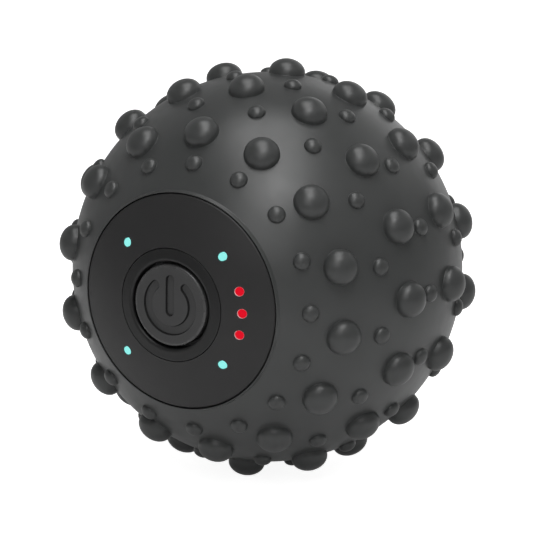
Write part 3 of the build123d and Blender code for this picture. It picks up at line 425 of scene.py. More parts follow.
def bumped(tree, shader, value, height):
    """Raises the shader's surface by a pattern of the given height."""
    node = tree.nodes.new("ShaderNodeBump")
    node.inputs["Distance"].default_value = height
    node.inputs["Strength"].default_value = 1.0
    tree.links.new(value, node.inputs["Height"])
    tree.links.new(node.outputs["Normal"], shader.inputs["Normal"])


def shade(tint, share):
    """A colour made lighter or darker by a share."""
    return tuple(min(1.0, c * share) for c in tint)


def moulded(name, tint, roughness=0.45, specular=0.4, grain=0.35 * MM, grain_height=0.006 * MM):
    """Moulded plastic or rubber: faint clouds in its colour and gloss, and a fine spark grain."""
    material, tree, shader, place = start_finish(name, tint, roughness, 0.0, specular)
    clouds = ranged(tree, noise(tree, place, 14 * MM), 0.0, 1.0)
    coloured(tree, shader, clouds, shade(tint, 0.94), shade(tint, 1.06))
    wear = noise(tree, place, 5 * MM, 4.0, 0.6)
    tree.links.new(ranged(tree, wear, roughness - 0.03, roughness + 0.03), shader.inputs["Roughness"])
    bumped(tree, shader, noise(tree, place, grain, 2.0), grain_height)
    return material


def silicone_finish(tint):
    """Smooth satin silicone."""
    return moulded("silicone_skin", tint, 0.37, 0.5, 0.5 * MM, 0.005 * MM)


def metal(name, tint, roughness, along=(1.0, 1.0, 1.0), grain=0.6 * MM):
    """Turned or rolled metal: fine tool lines, stretched along one way, in its gloss and relief."""
    material, tree, shader, place = start_finish(name, tint, roughness, 1.0)
    lines = noise(tree, stretched(tree, place, along), grain, 3.0)
    tree.links.new(ranged(tree, lines, roughness - 0.08, roughness + 0.1), shader.inputs["Roughness"])
    stain = ranged(tree, noise(tree, place, 6 * MM), 0.0, 1.0)
    coloured(tree, shader, stain, shade(tint, 0.86), shade(tint, 1.05))
    bumped(tree, shader, lines, 0.004 * MM)
    return material


def board_finish(name, tint):
    """Circuit board: solder mask with paler tracks over the copper below it."""
    material, tree, shader, place = start_finish(name, tint, 0.35)
    tracks = tree.nodes.new("ShaderNodeTexVoronoi")
    tracks.feature = "DISTANCE_TO_EDGE"
    tracks.distance = "EUCLIDEAN"
    tracks.inputs["Scale"].default_value = 1.0 / (3.2 * MM)
    tree.links.new(place, tracks.inputs["Vector"])
    line = ranged(tree, tracks.outputs["Distance"], 1.0, 0.0, 0.05, 0.09)
    coloured(tree, shader, line, tint, shade(tint, 1.9))
    bumped(tree, shader, line, 0.02 * MM)
    return material


def winding_finish(name, tint):
    """Enamelled wire wound side by side, as fine bands that are darker in the sunken grooves between
    the wires, a painted shade.
    """
    material, tree, shader, place = start_finish(name, tint, 0.3, 1.0)
    bands = tree.nodes.new("ShaderNodeTexWave")
    bands.bands_direction = "X"
    bands.inputs["Scale"].default_value = 1.0 / (2.2 * MM)
    bands.inputs["Distortion"].default_value = 0.4
    tree.links.new(place, bands.inputs["Vector"])
    # Darker where the bands sink between the wires: painted shade in the grooves.
    coloured(tree, shader, bands.outputs["Fac"], shade(tint, 0.45), tint)
    bumped(tree, shader, bands.outputs["Fac"], 0.08 * MM)
    return material


def film_finish(name, tint):
    """Heat-shrunk film: glossy, with faint creases along X that are darker where they sink, a painted
    shade.
    """
    material, tree, shader, place = start_finish(name, tint, 0.28)
    shader.inputs["Coat Weight"].default_value = 0.4
    shader.inputs["Coat Roughness"].default_value = 0.12
    creases = noise(tree, stretched(tree, place, (0.15, 1.0, 1.0)), 1.2 * MM, 4.0)
    # Darker where the creases sink: painted shade in the creases.
    coloured(tree, shader, ranged(tree, creases, 0, 1), shade(tint, 0.8), tint)
    bumped(tree, shader, creases, 0.03 * MM)
    return material


def lamp_finish(name, tint, strength):
    """Lit window: a diffusing face that is a little deeper in colour in soft clouds."""
    material, tree, shader, place = start_finish(name, shade(tint, 0.03), 0.5, 0.0, 0.1)
    clouds = ranged(tree, noise(tree, place, 0.9 * MM, 2.0), 0.0, 1.0)
    glow = blended(tree, clouds, shade(tint, 0.95), tint)
    tree.links.new(glow, shader.inputs["Emission Color"])
    shader.inputs["Emission Strength"].default_value = strength
    bumped(tree, shader, noise(tree, place, 0.2 * MM), 0.003 * MM)
    return material


def inner_finishes():
    """Finish of each material slot that the carried-over parts use, by the slot's name."""
    red_jacket, shell_grey = (0.30, 0.02, 0.02), (0.035, 0.035, 0.039)
    return {
        "shell_plastic": moulded("shell_moulding", shell_grey, 0.5, 0.5, 0.5 * MM, 0.01 * MM),
        "nylon": moulded("nylon_moulding", (0.62, 0.60, 0.54), 0.42, 0.5),
        "switch_plastic": moulded("switch_moulding", (0.06, 0.06, 0.06), 0.4, 0.5),
        "chip_plastic": moulded("chip_moulding", (0.018, 0.018, 0.018), 0.55, 0.4, 0.15 * MM),
        "soft_rubber": moulded("rubber_moulding", (0.02, 0.02, 0.02), 0.7, 0.3),
        "led_package": moulded("lamp_moulding", (0.85, 0.83, 0.74), 0.35, 0.5),
        "lead_jacket": moulded("lead_jacket_vinyl", red_jacket, 0.38, 0.5, 1.5 * MM),
        "screw_steel": metal("screw_zinc", (0.55, 0.55, 0.57), 0.32, grain=0.4 * MM),
        "motor_steel": metal("drawn_steel", (0.62, 0.62, 0.64), 0.3, (0.1, 1.0, 1.0)),
        "sintered_iron": metal("sintered_grey", (0.16, 0.16, 0.165), 0.55, grain=0.3 * MM),
        "brass": metal("rolled_brass", (0.72, 0.55, 0.25), 0.3, (0.1, 1.0, 1.0)),
        "bronze": metal("porous_bronze", (0.55, 0.36, 0.18), 0.45, grain=0.25 * MM),
        "nickel": metal("plated_nickel", (0.66, 0.64, 0.60), 0.22, (1.0, 0.1, 1.0)),
        "circuit_board": board_finish("solder_mask", (0.016, 0.12, 0.045)),
        "copper_winding": winding_finish("enamelled_wire", (0.70, 0.30, 0.12)),
        "cell_sleeve": film_finish("shrink_film", (0.04, 0.18, 0.42)),
    }


def assign(node, material):
    """Puts one material in every slot of a carried-over node."""
    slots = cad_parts[node].data.materials
    for place in range(len(slots)):
        slots[place] = material


# ---------------------------------------------------------------- sleeve
def lip_path(sleeve, side):
    """Lip round an opening, from the ball's outer face over the crest to the inner face, with a
    small fillet at its foot. Side is -1 at the panel and 1 at the charging cover."""
    ball, opening = sleeve.ball_radius, sleeve.opening_radius
    inner = ball - sleeve_wall
    foot = opening + 0.67 * MM
    foot_depth = np.sqrt(ball**2 - foot**2)
    lead = foot + 1.0 * MM
    crest = foot_depth + sleeve.lip_height
    return rounded([
        (lead, side * np.sqrt(ball**2 - lead**2), 0),
        (foot, side * foot_depth, 0.22 * MM),
        (opening + 0.30 * MM, side * crest, 0.13 * MM),
        (opening, side * (crest - 0.04 * MM), 0.09 * MM),
        (opening, side * np.sqrt(inner**2 - opening**2), 0.1 * MM),
        (opening + 1.5 * MM, side * np.sqrt(inner**2 - (opening + 1.5 * MM) ** 2), 0),
    ], steps=4)


def sleeve_path(sleeve):
    """Closed profile of the sleeve's wall: an outer arc about the ball's centre, a lip, an inner arc
    and the other lip."""
    ball, inner = sleeve.ball_radius, sleeve.ball_radius - sleeve_wall
    rear, front = lip_path(sleeve, 1), lip_path(sleeve, -1)
    outer_end = np.arctan2(rear[0, 1], rear[0, 0])
    inner_end = np.arctan2(rear[-1, 1], rear[-1, 0])
    outer = np.linspace(-outer_end, outer_end, 90)[1:-1]
    inside = np.linspace(inner_end, -inner_end, 40)[1:-1]
    return np.concatenate([
        ball * np.stack([np.cos(outer), np.sin(outer)], axis=-1),
        rear,
        inner * np.stack([np.cos(inside), np.sin(inside)], axis=-1),
        front[::-1],
    ])


def stud_directions(size):
    """Unit directions of every stud of one size: rings at a polar angle, evenly spaced in bearing."""
    rings = [ring[1:] for ring in STUD_RINGS if ring[0] == size]
    polar = np.radians(np.concatenate([np.full(count, angle) for angle, count, _ in rings]))
    bearing = np.radians(
        np.concatenate([first + np.arange(count) * 360.0 / count for _, count, first in rings])
    )
    return np.stack(
        [np.sin(polar) * np.cos(bearing), -np.cos(polar), np.sin(polar) * np.sin(bearing)], axis=-1
    )


def stud_path(ball, foot, height, fillet, dome_steps):
    """Profile of a stud as (radius from its own axis, distance from the ball's centre).

    Half an ellipse stands on a short upright wall; a concave arc, which touches both the wall and
    the ball, joins them; a skirt then dips under the skin and a blunt root closes the solid.
    """
    side = foot - fillet
    shoulder = ball + 0.085 * height
    crown = ball + height - shoulder
    sweep = np.linspace(0, np.pi / 2, dome_steps + 1)[1:]
    dome = np.stack([side * np.sin(sweep), shoulder + crown * np.cos(sweep)], axis=-1)
    centre_distance = np.sqrt((ball + fillet) ** 2 - foot**2)
    last = np.arctan2(centre_distance, foot)
    turn = np.pi + np.linspace(0, last, 6)
    bend = np.stack(
        [foot + fillet * np.cos(turn), centre_distance + fillet * np.sin(turn)], axis=-1
    )
    edge = bend[-1, 0] + np.array([0.10, 0.22]) * MM
    skirt = np.stack([edge, np.sqrt(ball**2 - edge**2) - np.array([0.006, 0.03]) * MM], axis=-1)
    root = np.array([(foot, ball - 0.8 * MM), (0.8 * foot, ball - 1.6 * MM)])
    return np.concatenate([dome, bend, skirt, root])


def studs(name, size, ball, foot, height, fillet, dome_steps, columns):
    """Every stud of one size: its profile carried round its own axis, which points away from the
    ball's centre. A point is axis * distance + radius * (across * cos + up * sin)."""
    axes = stud_directions(size)
    across = np.cross(axes, (0.0, 0.0, 1.0))
    weak = np.linalg.norm(across, axis=1) < 0.1
    across[weak] = np.cross(axes[weak], (1.0, 0.0, 0.0))
    across /= np.linalg.norm(across, axis=1, keepdims=True)
    up = np.cross(axes, across)
    path = stud_path(ball, foot, height, fillet, dome_steps)
    bearing = np.arange(columns) * 2 * np.pi / columns
    around = across[:, None] * np.cos(bearing)[:, None] + up[:, None] * np.sin(bearing)[:, None]
    rings = (
        axes[:, None, None] * path[:, 1, None, None] + around[:, None] * path[:, 0, None, None]
    )
    return solid(name, rings, axes * (ball + height), axes * path[-1, 1])


class MASSAGE_OT_sleeve(bpy.types.Operator):
    """Build the silicone skin with the lip round each opening"""

    bl_idname = "massage_ball.sleeve"
    bl_label = "Silicone Skin"

    def execute(self, context):
        sleeve = context.scene.massage_sleeve
        skin = solid("silicone_skin", turned(sleeve_path(sleeve), skin_columns))
        placed(skin, "ball_body", "silicone", [silicone_finish(sleeve.tint)], "silicone_sleeve")
        return {"FINISHED"}


class MASSAGE_OT_studs(bpy.types.Operator):
    """Build the large and small studs on the silicone skin"""

    bl_idname = "massage_ball.studs"
    bl_label = "Studs"

    def execute(self, context):
        sleeve = context.scene.massage_sleeve
        skin = bpy.data.materials["silicone_skin"]
        large = studs(
            "large_studs", "large", sleeve.ball_radius, sleeve.large_radius, sleeve.large_height,
            fillet=0.10 * MM, dome_steps=14, columns=40,
        )
        small = studs(
            "small_studs", "small", sleeve.ball_radius, sleeve.small_radius, sleeve.small_height,
            fillet=0.08 * MM, dome_steps=9, columns=28,
        )
        for piece in (large, small):
            placed(piece, "ball_body", "silicone", [skin], "silicone_sleeve")
        return {"FINISHED"}


# ---------------------------------------------------------------- control panel
class MASSAGE_OT_control_panel(bpy.types.Operator):
    """Finish the domed control panel"""

    bl_idname = "massage_ball.control_panel"
    bl_label = "Control Panel"

    def execute(self, context):
        control = context.scene.massage_control
        satin = moulded("panel_satin", control.panel_tint, 0.44, 0.35, satin_grain, satin_relief)
        assign("control_panel", satin)
        return {"FINISHED"}


def near_key(columns, half_angle):
    """True for the columns that lie within a half angle of one of the three anti-turn keys."""
    bearing = np.arange(columns) * 360.0 / columns
    return np.abs((bearing + 30.0) % 120.0 - 60.0) < half_angle


class MASSAGE_OT_button_ring(bpy.types.Operator):
    """Build the ring round the button, with its rolled inner edge and three anti-turn keys"""

    bl_idname = "massage_ball.button_ring"
    bl_label = "Button Ring"

    def execute(self, context):
        control = context.scene.massage_control
        outer, inner = control.ring_radius, control.button_radius + 0.85 * MM
        flange, flange_top, foot = outer + 2.2 * MM, 54.3 * MM, 52.8 * MM
        stop, throat, key_height = 53.9 * MM, 16.1 * MM, 1.9 * MM
        crest = inner + control.ring_roll
        dome, apex = control.dome_radius, control.panel_apex
        path = divided(rounded([
            (outer, -dome_depth(outer, dome, apex), 0.12 * MM),
            (outer, -flange_top, 0.1 * MM),
            (flange, -flange_top, 0.15 * MM),
            (flange, -foot, 0.15 * MM),
            (throat, -foot, 0.1 * MM),
            (throat, -stop, 0.05 * MM),
            (inner, -stop, 0.1 * MM),
            (inner, -dome_depth(inner, dome, apex), control.ring_roll),
        ], steps=9, closed=True), 0.8 * MM, closed=True)
        on_face = (path[:, 0] > crest) & (path[:, 0] < outer - 0.2 * MM) & (path[:, 1] < -flange_top)
        on_dome = -dome_depth(np.minimum(path[:, 0], outer), dome, apex)
        path[:, 1] = np.where(on_face, on_dome, path[:, 1])
        rings = turned(path, skin_columns)
        on_stop = (np.abs(path[:, 1] + stop) < 0.02 * MM) & (path[:, 0] < throat)
        key_rows = on_stop[:, None] & near_key(skin_columns, 3.4)[None]
        rings[..., 1] = np.where(key_rows, rings[..., 1] + key_height, rings[..., 1])
        satin = moulded("ring_satin", control.ring_tint, 0.40, 0.35, satin_grain, satin_relief)
        ring = solid("button_ring", rings)
        placed(ring, "ball_body", "bezel_plastic", [satin], "button_bezel")
        return {"FINISHED"}


# ---------------------------------------------------------------- power button
def power_sign(x, z, control):
    """How deep the power sign is cut at a point of the button's face, as a share.

    The distance to the sign's line is the less of two: to an arc open at the top, and to an upright
    stroke. The cut is a smooth step of that distance across the groove's edge.
    """
    opening = np.radians(84.0) / 2
    radius = np.hypot(x, z)
    from_top = np.abs(np.arctan2(x, z))
    end_x, end_z = control.sign_radius * np.sin(opening), control.sign_radius * np.cos(opening)
    to_arc = np.where(
        from_top > opening, np.abs(radius - control.sign_radius), np.hypot(np.abs(x) - end_x, z - end_z)
    )
    half, middle, reach = control.sign_width / 2, 3.2 * MM, 5.1 * MM
    to_stroke = np.hypot(x, np.maximum(np.abs(z - middle) - reach, 0))
    edge = np.minimum(to_arc, to_stroke) - half
    soft = 0.14 * MM
    return smooth_step(np.clip((soft - edge) / (2 * soft), 0, 1))


class MASSAGE_OT_power_button(bpy.types.Operator):
    """Build the power button with its engraved sign, hollow underside and notched flange"""

    bl_idname = "massage_ball.power_button"
    bl_label = "Power Button"

    def execute(self, context):
        control = context.scene.massage_control
        radius, depth = control.button_radius, control.button_depth
        flange, flange_top, flange_foot = 15.6 * MM, 53.8 * MM, 52.6 * MM
        hollow, roof, stem, stem_foot = radius - 1.5 * MM, depth - 1.9 * MM, 2.2 * MM, 53.4 * MM
        edge_depth, edge_rounding = depth - control.button_crown, 0.65 * MM
        face = np.concatenate([
            np.linspace(0.2, 6.4, 42),
            np.linspace(6.4, 9.9, 36)[1:],
            np.linspace(9.9, 12.3, 9)[1:],
        ]) * MM
        crown = -(depth - control.button_crown * (face / radius) ** 2)
        sides = divided(rounded([
            (face[-1], crown[-1], 0),
            (radius, -edge_depth, edge_rounding),
            (radius, -flange_top, 0.08 * MM),
            (flange, -flange_top, 0.1 * MM),
            (flange, -flange_foot, 0.1 * MM),
            (hollow, -flange_foot, 0.1 * MM),
            (hollow, -roof, 0.3 * MM),
            (stem, -roof, 0.2 * MM),
            (stem, -stem_foot, 0.15 * MM),
            (0.3 * MM, -stem_foot, 0),
        ], steps=6), 1.2 * MM)
        path = np.concatenate([np.stack([face, crown], axis=-1), sides[1:]])
        rings = turned(path, button_columns)
        top = len(face)
        sign = power_sign(rings[:top, :, 0], rings[:top, :, 2], control)
        rings[:top, :, 1] += control.sign_depth * sign
        notch_floor = 13.9 * MM
        notch_rows = path[:, 0] > notch_floor
        notch = notch_rows[:, None] & near_key(button_columns, 4.9)[None]
        cut = notch_floor / path[:, 0]
        scale = np.where(notch, cut[:, None], 1.0)
        rings[..., 0] *= scale
        rings[..., 2] *= scale
        middle_cut = control.sign_depth * power_sign(np.zeros(1), np.zeros(1), control)[0]
        satin = moulded("button_satin", control.button_tint, 0.46, 0.35, satin_grain, satin_relief)
        # The sign's walls get a darker, duller colour than the button's face: a painted shade in the
        # engraved groove.
        sign_wall_shade = moulded("sign_wall_painted_shade", shade(control.button_tint, 0.3), 0.6, 0.1, satin_grain)
        cap = solid("power_button_cap", rings, (0, middle_cut - depth, 0), (0, -stem_foot, 0))
        edge_finish = moulded("button_edge_satin", control.button_tint, 0.27, 0.6, satin_grain)
        placed(cap, "button", "button_plastic", [satin, sign_wall_shade, edge_finish], "power_button")
        beside = np.roll(sign, -1, axis=1)
        level = (sign[:-1] + sign[1:] + beside[:-1] + beside[1:]) / 4
        face_material = np.zeros(len(cap.data.polygons), np.int32)
        # Faces on the sign's walls take the second material, the painted shade in the groove. Faces on
        # the rolled edge take the glossier third.
        face_material[:level.size] = ((level > 0.04) & (level < 0.97)).ravel()
        rolled = int(np.argmax(path[top:, 1] > edge_rounding + 0.15 * MM - edge_depth))
        face_material[level.size:level.size + rolled * button_columns] = 2
        cap.data.polygons.foreach_set("material_index", face_material)
        return {"FINISHED"}


# ---------------------------------------------------------------- light windows
def windows(name, bearings, control, radius, recess):
    """Light pipes: a rounded pin with a flange, one at each bearing. The tip's points are lifted so
    that its face follows the panel's dome, less the recess."""
    flange, tip_level = control.light_radius + 0.6 * MM, 57.0 * MM
    foot, flange_foot, flange_top = 50.6 * MM, 50.7 * MM, 51.5 * MM
    path = rounded([
        (0.0, 0.0, 0),
        (radius, 0.0, 0.06 * MM),
        (radius, flange_top - tip_level, 0.05 * MM),
        (flange, flange_top - tip_level, 0.08 * MM),
        (flange, flange_foot - tip_level, 0.08 * MM),
        (radius, flange_foot - tip_level, 0.03 * MM),
        (radius, foot - tip_level, 0.03 * MM),
        (0.0, foot - tip_level, 0),
    ], steps=4)[1:-1]
    inner_tip = np.stack([np.linspace(0.2, 1.3, 6) * MM, np.zeros(6)], axis=-1)
    path = np.concatenate([inner_tip, path])
    circle = control.light_circle
    rings = on_circle(turned(path, 36), circle, bearings)
    lift = dome_depth(
        np.hypot(rings[..., 0], rings[..., 2]), control.dome_radius, control.panel_apex
    )
    tip = np.clip(1 + rings[..., 1] / (2.0 * MM), 0, 1)
    face = lift - recess
    rings[..., 1] = -(face * tip + tip_level * (1 - tip) + rings[..., 1])
    angle = np.radians(bearings)
    tip_depth = dome_depth(circle, control.dome_radius, control.panel_apex) - recess
    first = np.stack(
        [circle * np.cos(angle), np.full(len(angle), -tip_depth), circle * np.sin(angle)], axis=-1
    )
    last = first.copy()
    last[:, 1] = -foot
    return solid(name, rings, first, last)


def collars(name, bearings, control, recess):
    """Pale rings that line the recessed holes: a thin rounded wall from the window's face up to just
    under the panel's dome. Their pale is the rim's own colour, and their pink is a painted glow of the
    red window's light on the hole's wall."""
    outer, inner = control.light_radius + 0.05 * MM, control.light_radius - 0.01 * MM
    path = rounded([
        (inner, -0.06 * MM, 0.02 * MM),
        (outer, -0.06 * MM, 0.02 * MM),
        (outer, -recess - 0.02 * MM, 0.02 * MM),
        (inner, -recess - 0.02 * MM, 0.02 * MM),
    ], steps=4, closed=True)
    rings = on_circle(turned(path, 48), control.light_circle, bearings)
    lift = dome_depth(
        np.hypot(rings[..., 0], rings[..., 2]), control.dome_radius, control.panel_apex
    )
    rings[..., 1] = -(lift + rings[..., 1])
    return solid(name, rings)


class MASSAGE_OT_light_windows(bpy.types.Operator):
    """Build the blue-green and red light windows"""

    bl_idname = "massage_ball.light_windows"
    bl_label = "Light Windows"

    def execute(self, context):
        control = context.scene.massage_control
        recess = 0.45 * MM
        proud_radius = control.light_radius - 0.18 * MM
        glow = 0.95
        speed = windows("speed_windows", SPEED_BEARINGS, control, proud_radius, 0.02 * MM)
        speed_glow = lamp_finish("speed_glow", control.speed_light, glow)
        placed(speed, "ball_body", "cyan_light", [speed_glow], "speed_light_pipes")
        battery = windows(
            "battery_windows", BATTERY_BEARINGS, control, control.light_radius, recess
        )
        battery_glow = lamp_finish("battery_glow", control.battery_light, glow)
        placed(battery, "ball_body", "red_light", [battery_glow], "battery_light_pipes")
        # The collar's pink tint is painted red light from the window on the hole's wall. The pale under
        # it is the rim's own colour.
        pale = moulded("collar_painted_red_glow", (0.80, 0.55, 0.56), 0.4, 0.5)
        lining = collars("battery_window_collars", BATTERY_BEARINGS, control, recess)
        placed(lining, "ball_body", "led_package", [pale], "battery_light_pipes")
        return {"FINISHED"}


# ---------------------------------------------------------------- charging end
def cover_posts(foot, top):
    """Four hollow screw posts under the cover: closed ring profiles carried round axes that stand
    on the screw circle."""
    circle, outer, bore, edge = 30.0 * MM, 2.3 * MM, 1.3 * MM, 0.08 * MM
    corners = [(bore, foot, edge), (outer, foot, edge), (outer, top, edge), (bore, top, edge)]
    path = rounded(corners, steps=3, closed=True)
    return solid("cover_posts", on_circle(turned(path, 32), circle, POST_BEARINGS))


def charging_cover(charging):
    """Cover with a recessed slot mouth. Its closed profile is drawn as (radius, offset below the
    dome). Near the middle each ring is a slot, and it eases into a circle further out by a smooth
    step of the radius; the points are then lowered from the dome by their offset."""
    half = (charging.mouth_width - charging.mouth_height) / 2
    mouth, grip, wall = charging.mouth_height / 2, charging.mouth_height / 2 + 1.45 * MM, 2.4 * MM
    seat = dome_depth(cap_radius, charging.dome_radius, charging.cover_apex) - 47.2 * MM
    path = divided(rounded([
        (mouth, wall, 0.15 * MM),
        (mouth, 0.6 * MM, 0.15 * MM),
        (grip, 0.6 * MM, 0.2 * MM),
        (grip, 0.0, 0.22 * MM),
        (cap_radius, 0.0, 0.55 * MM),
        (cap_radius, seat, 0.1 * MM),
        (cap_radius - wall, seat, 0.1 * MM),
        (cap_radius - wall, wall, 0.4 * MM),
    ], closed=True), 1.0 * MM, closed=True)
    ease = smooth_step(np.clip((path[:, 0] - grip - 0.5 * MM) / (9.0 * MM), 0, 1))
    rows = np.stack([half * (1 - ease), path[:, 0], path[:, 1], ease], axis=-1)
    rings = slotted(rows, 192)
    radius = np.hypot(rings[..., 0], rings[..., 2])
    rings[..., 1] = dome_depth(radius, charging.dome_radius, charging.cover_apex) - rings[..., 1]
    return solid("charging_cover_cap", rings)


def slot_solid(name, half, path, columns):
    """A slot-shaped solid whose profile of (radius, y) is carried round a slot of one half length,
    and whose two ends close on the axis."""
    rows = np.stack(
        [np.full(len(path), half), path[:, 0], path[:, 1], np.zeros(len(path))], axis=-1
    )
    return solid(name, slotted(rows, columns), (0, path[0, 1], 0), (0, path[-1, 1], 0))


def contact_strips(half_height, start, end):
    """Twelve flat contacts on each face of the tongue: flattened bars along Y with round ends."""
    count, pitch = 12, 0.5 * MM
    y = np.array([start, start + 0.04 * MM, end - 0.04 * MM, end])
    rows = np.stack(
        [np.full(4, 0.08 * MM), np.array([0.02, 0.05, 0.05, 0.02]) * MM, y, np.zeros(4)], axis=-1
    )
    bar = slotted(rows, 16)
    x = np.tile((np.arange(count) - (count - 1) / 2) * pitch, 2)
    z = np.repeat([half_height, -half_height], count)
    rings = bar[None].repeat(2 * count, axis=0)
    rings[..., 0] += x[:, None, None]
    rings[..., 2] += z[:, None, None]
    first = np.stack([x, np.full(2 * count, start), z], axis=-1)
    last = np.stack([x, np.full(2 * count, end), z], axis=-1)
    return solid("socket_contacts", rings, first, last)


class MASSAGE_OT_charging_end(bpy.types.Operator):
    """Build the charging cover, the socket's shell, its tongue and its contacts"""

    bl_idname = "massage_ball.charging_end"
    bl_label = "Charging End"

    def execute(self, context):
        charging = context.scene.massage_charging
        satin = moulded("cover_satin", charging.cover_tint, 0.44, 0.35, satin_grain, satin_relief)
        cover = charging_cover(charging)
        posts = cover_posts(46.4 * MM, 51.0 * MM)
        for piece in (cover, posts):
            placed(piece, "ball_body", "cover_plastic", [satin], "charging_cover")

        mouth, back = charging.cover_apex - 0.5 * MM, charging.cover_apex - 7.5 * MM
        floor, outer = back + 0.6 * MM, charging.socket_height / 2
        half = charging.socket_width / 2 - outer
        shell = slot_solid("socket_shell", half, rounded([
            (0.1 * MM, back, 0),
            (outer, back, 0.25 * MM),
            (outer, mouth, 0.12 * MM),
            (outer - 0.35 * MM, mouth, 0.12 * MM),
            (outer - 0.35 * MM, floor, 0.1 * MM),
            (0.1 * MM, floor, 0),
        ]), 96)
        plating = metal("socket_plating", (0.66, 0.64, 0.60), 0.24, (1.0, 0.1, 1.0))
        placed(shell, "ball_body", "nickel", [plating], "charging_socket")

        tip = mouth - 0.6 * MM
        tongue = slot_solid("socket_tongue_blade", 2.95 * MM, rounded([
            (0.02 * MM, floor, 0),
            (0.35 * MM, floor, 0.05 * MM),
            (0.35 * MM, tip, 0.15 * MM),
            (0.02 * MM, tip, 0),
        ]), 64)
        black = moulded("tongue_moulding", (0.02, 0.02, 0.02), 0.4, 0.5, 0.1 * MM, 0.002 * MM)
        contacts = contact_strips(0.335 * MM, floor + 1.0 * MM, tip - 0.5 * MM)
        gold = metal("contact_gold", (0.83, 0.62, 0.27), 0.25, (1.0, 0.1, 1.0), 0.2 * MM)
        placed(tongue, "ball_body", "switch_plastic", [black], "socket_tongue")
        placed(contacts, "ball_body", "brass", [gold], "socket_tongue")
        return {"FINISHED"}


class MASSAGE_OT_inner_parts(bpy.types.Operator):
    """Finish every carried-over part inside the ball by its material slot"""

    bl_idname = "massage_ball.inner_parts"
    bl_label = "Inner Parts"

    def execute(self, context):
        finishes = inner_finishes()
        for node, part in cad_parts.items():
            slot_name = part.data.materials[0].name
            if slot_name in finishes:
                assign(node, finishes[slot_name])
        return {"FINISHED"}


# ---------------------------------------------------------------- studio
def soft_light(name, size, power, direction, distance):
    """A square area light that stands off the ball's centre in a direction and faces it."""
    data = bpy.data.lights.new(name, "AREA")
    data.shape = "SQUARE"
    data.size = size
    data.energy = power
    lamp = bpy.data.objects.new(name, data)
    bpy.context.scene.collection.objects.link(lamp)
    aim = Vector(direction).normalized()
    lamp.location = aim * distance
    lamp.rotation_euler = aim.to_track_quat("Z", "Y").to_euler()


def sweep(name, height, columns, glow):
    """Pale floor that turns up into a far wall: a path of (radius, height) carried round Z, with the
    floor's middle closed by triangles."""
    floor_radius, wall_height, bend = 2.5, 2.5, 0.8
    turn = np.linspace(-np.pi / 2, 0, 9)
    path = np.concatenate([
        [(0.3, 0.0), (0.9, 0.0)],
        np.stack([floor_radius - bend + bend * np.cos(turn), bend + bend * np.sin(turn)], axis=-1),
        [(floor_radius, wall_height)],
    ])
    bearing = np.arange(columns) * 2 * np.pi / columns
    rings = np.stack([
        path[:, 0, None] * np.cos(bearing),
        path[:, 0, None] * np.sin(bearing),
        np.broadcast_to(path[:, 1, None] + height, (len(path), columns)),
    ], axis=-1)
    index = np.arange(len(path) * columns).reshape(len(path), columns)
    beside = np.roll(index, -1, axis=1)
    quads = np.stack([index[:-1], beside[:-1], beside[1:], index[1:]], axis=-1).reshape(-1, 4)
    middle = np.full(columns, len(path) * columns)
    fan = np.stack([middle, beside[0], index[0]], axis=-1)
    points = np.concatenate([rings.reshape(-1, 3), [(0.0, 0.0, height)]])
    mesh = bpy.data.meshes.new(name)
    mesh.from_pydata(points.tolist(), [], quads[:, ::-1].tolist() + fan[:, ::-1].tolist())
    mesh.shade_smooth()
    surface = bpy.data.objects.new(name, mesh)
    bpy.context.scene.collection.objects.link(surface)
    pale = (0.82, 0.82, 0.82)
    material, _, shader, _ = start_finish(name + "_paint", pale, 0.9, 0.0, 0.1)
    shader.inputs["Emission Color"].default_value = (1.0, 1.0, 1.0, 1.0)
    shader.inputs["Emission Strength"].default_value = glow
    mesh.materials.append(material)
    return surface


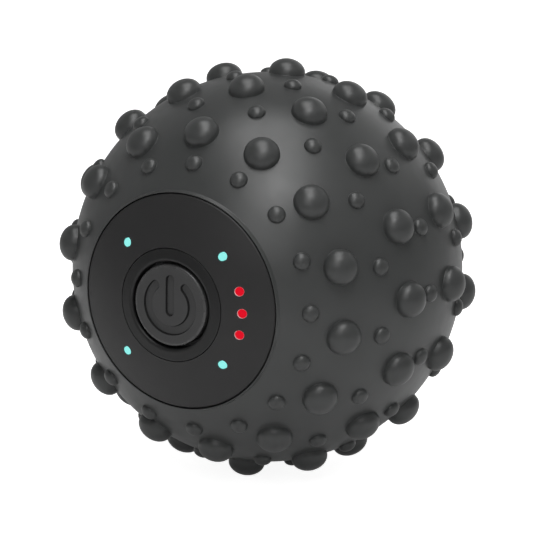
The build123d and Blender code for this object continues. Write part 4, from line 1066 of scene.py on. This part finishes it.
class MASSAGE_OT_studio(bpy.types.Operator):
    """Set up the pale floor, the soft lights and the camera"""

    bl_idname = "massage_ball.studio"
    bl_label = "Studio"

    def execute(self, context):
        studio = context.scene.massage_studio
        scene = context.scene
        scene.view_settings.view_transform = "Standard"
        world = bpy.data.worlds.new("studio_sky")
        world.use_nodes = True
        sky = world.node_tree.nodes["Background"]
        sky.inputs["Color"].default_value = (1.0, 1.0, 1.0, 1.0)
        sky.inputs["Strength"].default_value = studio.sky_level
        scene.world = world
        seen = sweep("backdrop", floor_height, studio.round_steps, studio.backdrop_glow)
        seen.visible_diffuse = False
        seen.visible_glossy = False
        seen.visible_shadow = False
        bounce = sweep(
            "bounce_floor", floor_height - 1.0 * MM, studio.round_steps, studio.bounce_glow
        )
        bounce.visible_camera = False

        azimuth, elevation = studio.azimuth, studio.elevation
        back = Vector((
            np.sin(azimuth) * np.cos(elevation), -np.cos(azimuth) * np.cos(elevation), np.sin(elevation)
        ))
        right = Vector((np.cos(azimuth), np.sin(azimuth), 0.0))
        up = back.cross(right)
        for name, side, height, size, power in SOFT_LIGHTS:
            side, height = np.radians(side), np.radians(height)
            way = (
                right * (np.sin(side) * np.cos(height))
                + up * np.sin(height)
                + back * (np.cos(side) * np.cos(height))
            )
            soft_light(name, size, power * studio.light_level, way, studio.light_distance)

        data = bpy.data.cameras.new("camera")
        data.type = "ORTHO"
        data.ortho_scale = studio.view_width
        data.clip_start = 0.01
        camera = bpy.data.objects.new("camera", data)
        scene.collection.objects.link(camera)
        aside, above, camera_distance = -0.3 * MM, 0.05 * MM, 0.4
        camera.location = back * camera_distance + right * aside + up * above
        camera.rotation_euler = back.to_track_quat("Z", "Y").to_euler()
        scene.camera = camera
        return {"FINISHED"}


# ---------------------------------------------------------------- add-on
class MASSAGE_PT_panel(bpy.types.Panel):
    """Lists the massage ball's pieces"""

    bl_idname = "MASSAGE_PT_panel"
    bl_label = "Massage Ball"
    bl_space_type = "VIEW_3D"
    bl_region_type = "UI"
    bl_category = "Massage Ball"

    def draw(self, context):
        for operator in OPERATORS:
            self.layout.operator(operator.bl_idname)


OPERATORS = (
    MASSAGE_OT_studio,
    MASSAGE_OT_inner_parts,
    MASSAGE_OT_sleeve,
    MASSAGE_OT_studs,
    MASSAGE_OT_control_panel,
    MASSAGE_OT_button_ring,
    MASSAGE_OT_power_button,
    MASSAGE_OT_light_windows,
    MASSAGE_OT_charging_end,
)
SETTINGS = {
    "massage_sleeve": SleeveSettings,
    "massage_control": ControlSettings,
    "massage_charging": ChargingSettings,
    "massage_studio": StudioSettings,
}


def register():
    for group in SETTINGS.values():
        bpy.utils.register_class(group)
    for name, group in SETTINGS.items():
        setattr(bpy.types.Scene, name, PointerProperty(type=group))
    for operator in OPERATORS:
        bpy.utils.register_class(operator)
    bpy.utils.register_class(MASSAGE_PT_panel)


def unregister():
    bpy.utils.unregister_class(MASSAGE_PT_panel)
    for operator in reversed(OPERATORS):
        bpy.utils.unregister_class(operator)
    for name, group in SETTINGS.items():
        delattr(bpy.types.Scene, name)
        bpy.utils.unregister_class(group)


def main():
    """Builds every piece."""
    register()
    for operator in OPERATORS:
        group, name = operator.bl_idname.split(".")
        getattr(getattr(bpy.ops, group), name)()


if __name__ == "__main__":
    main()
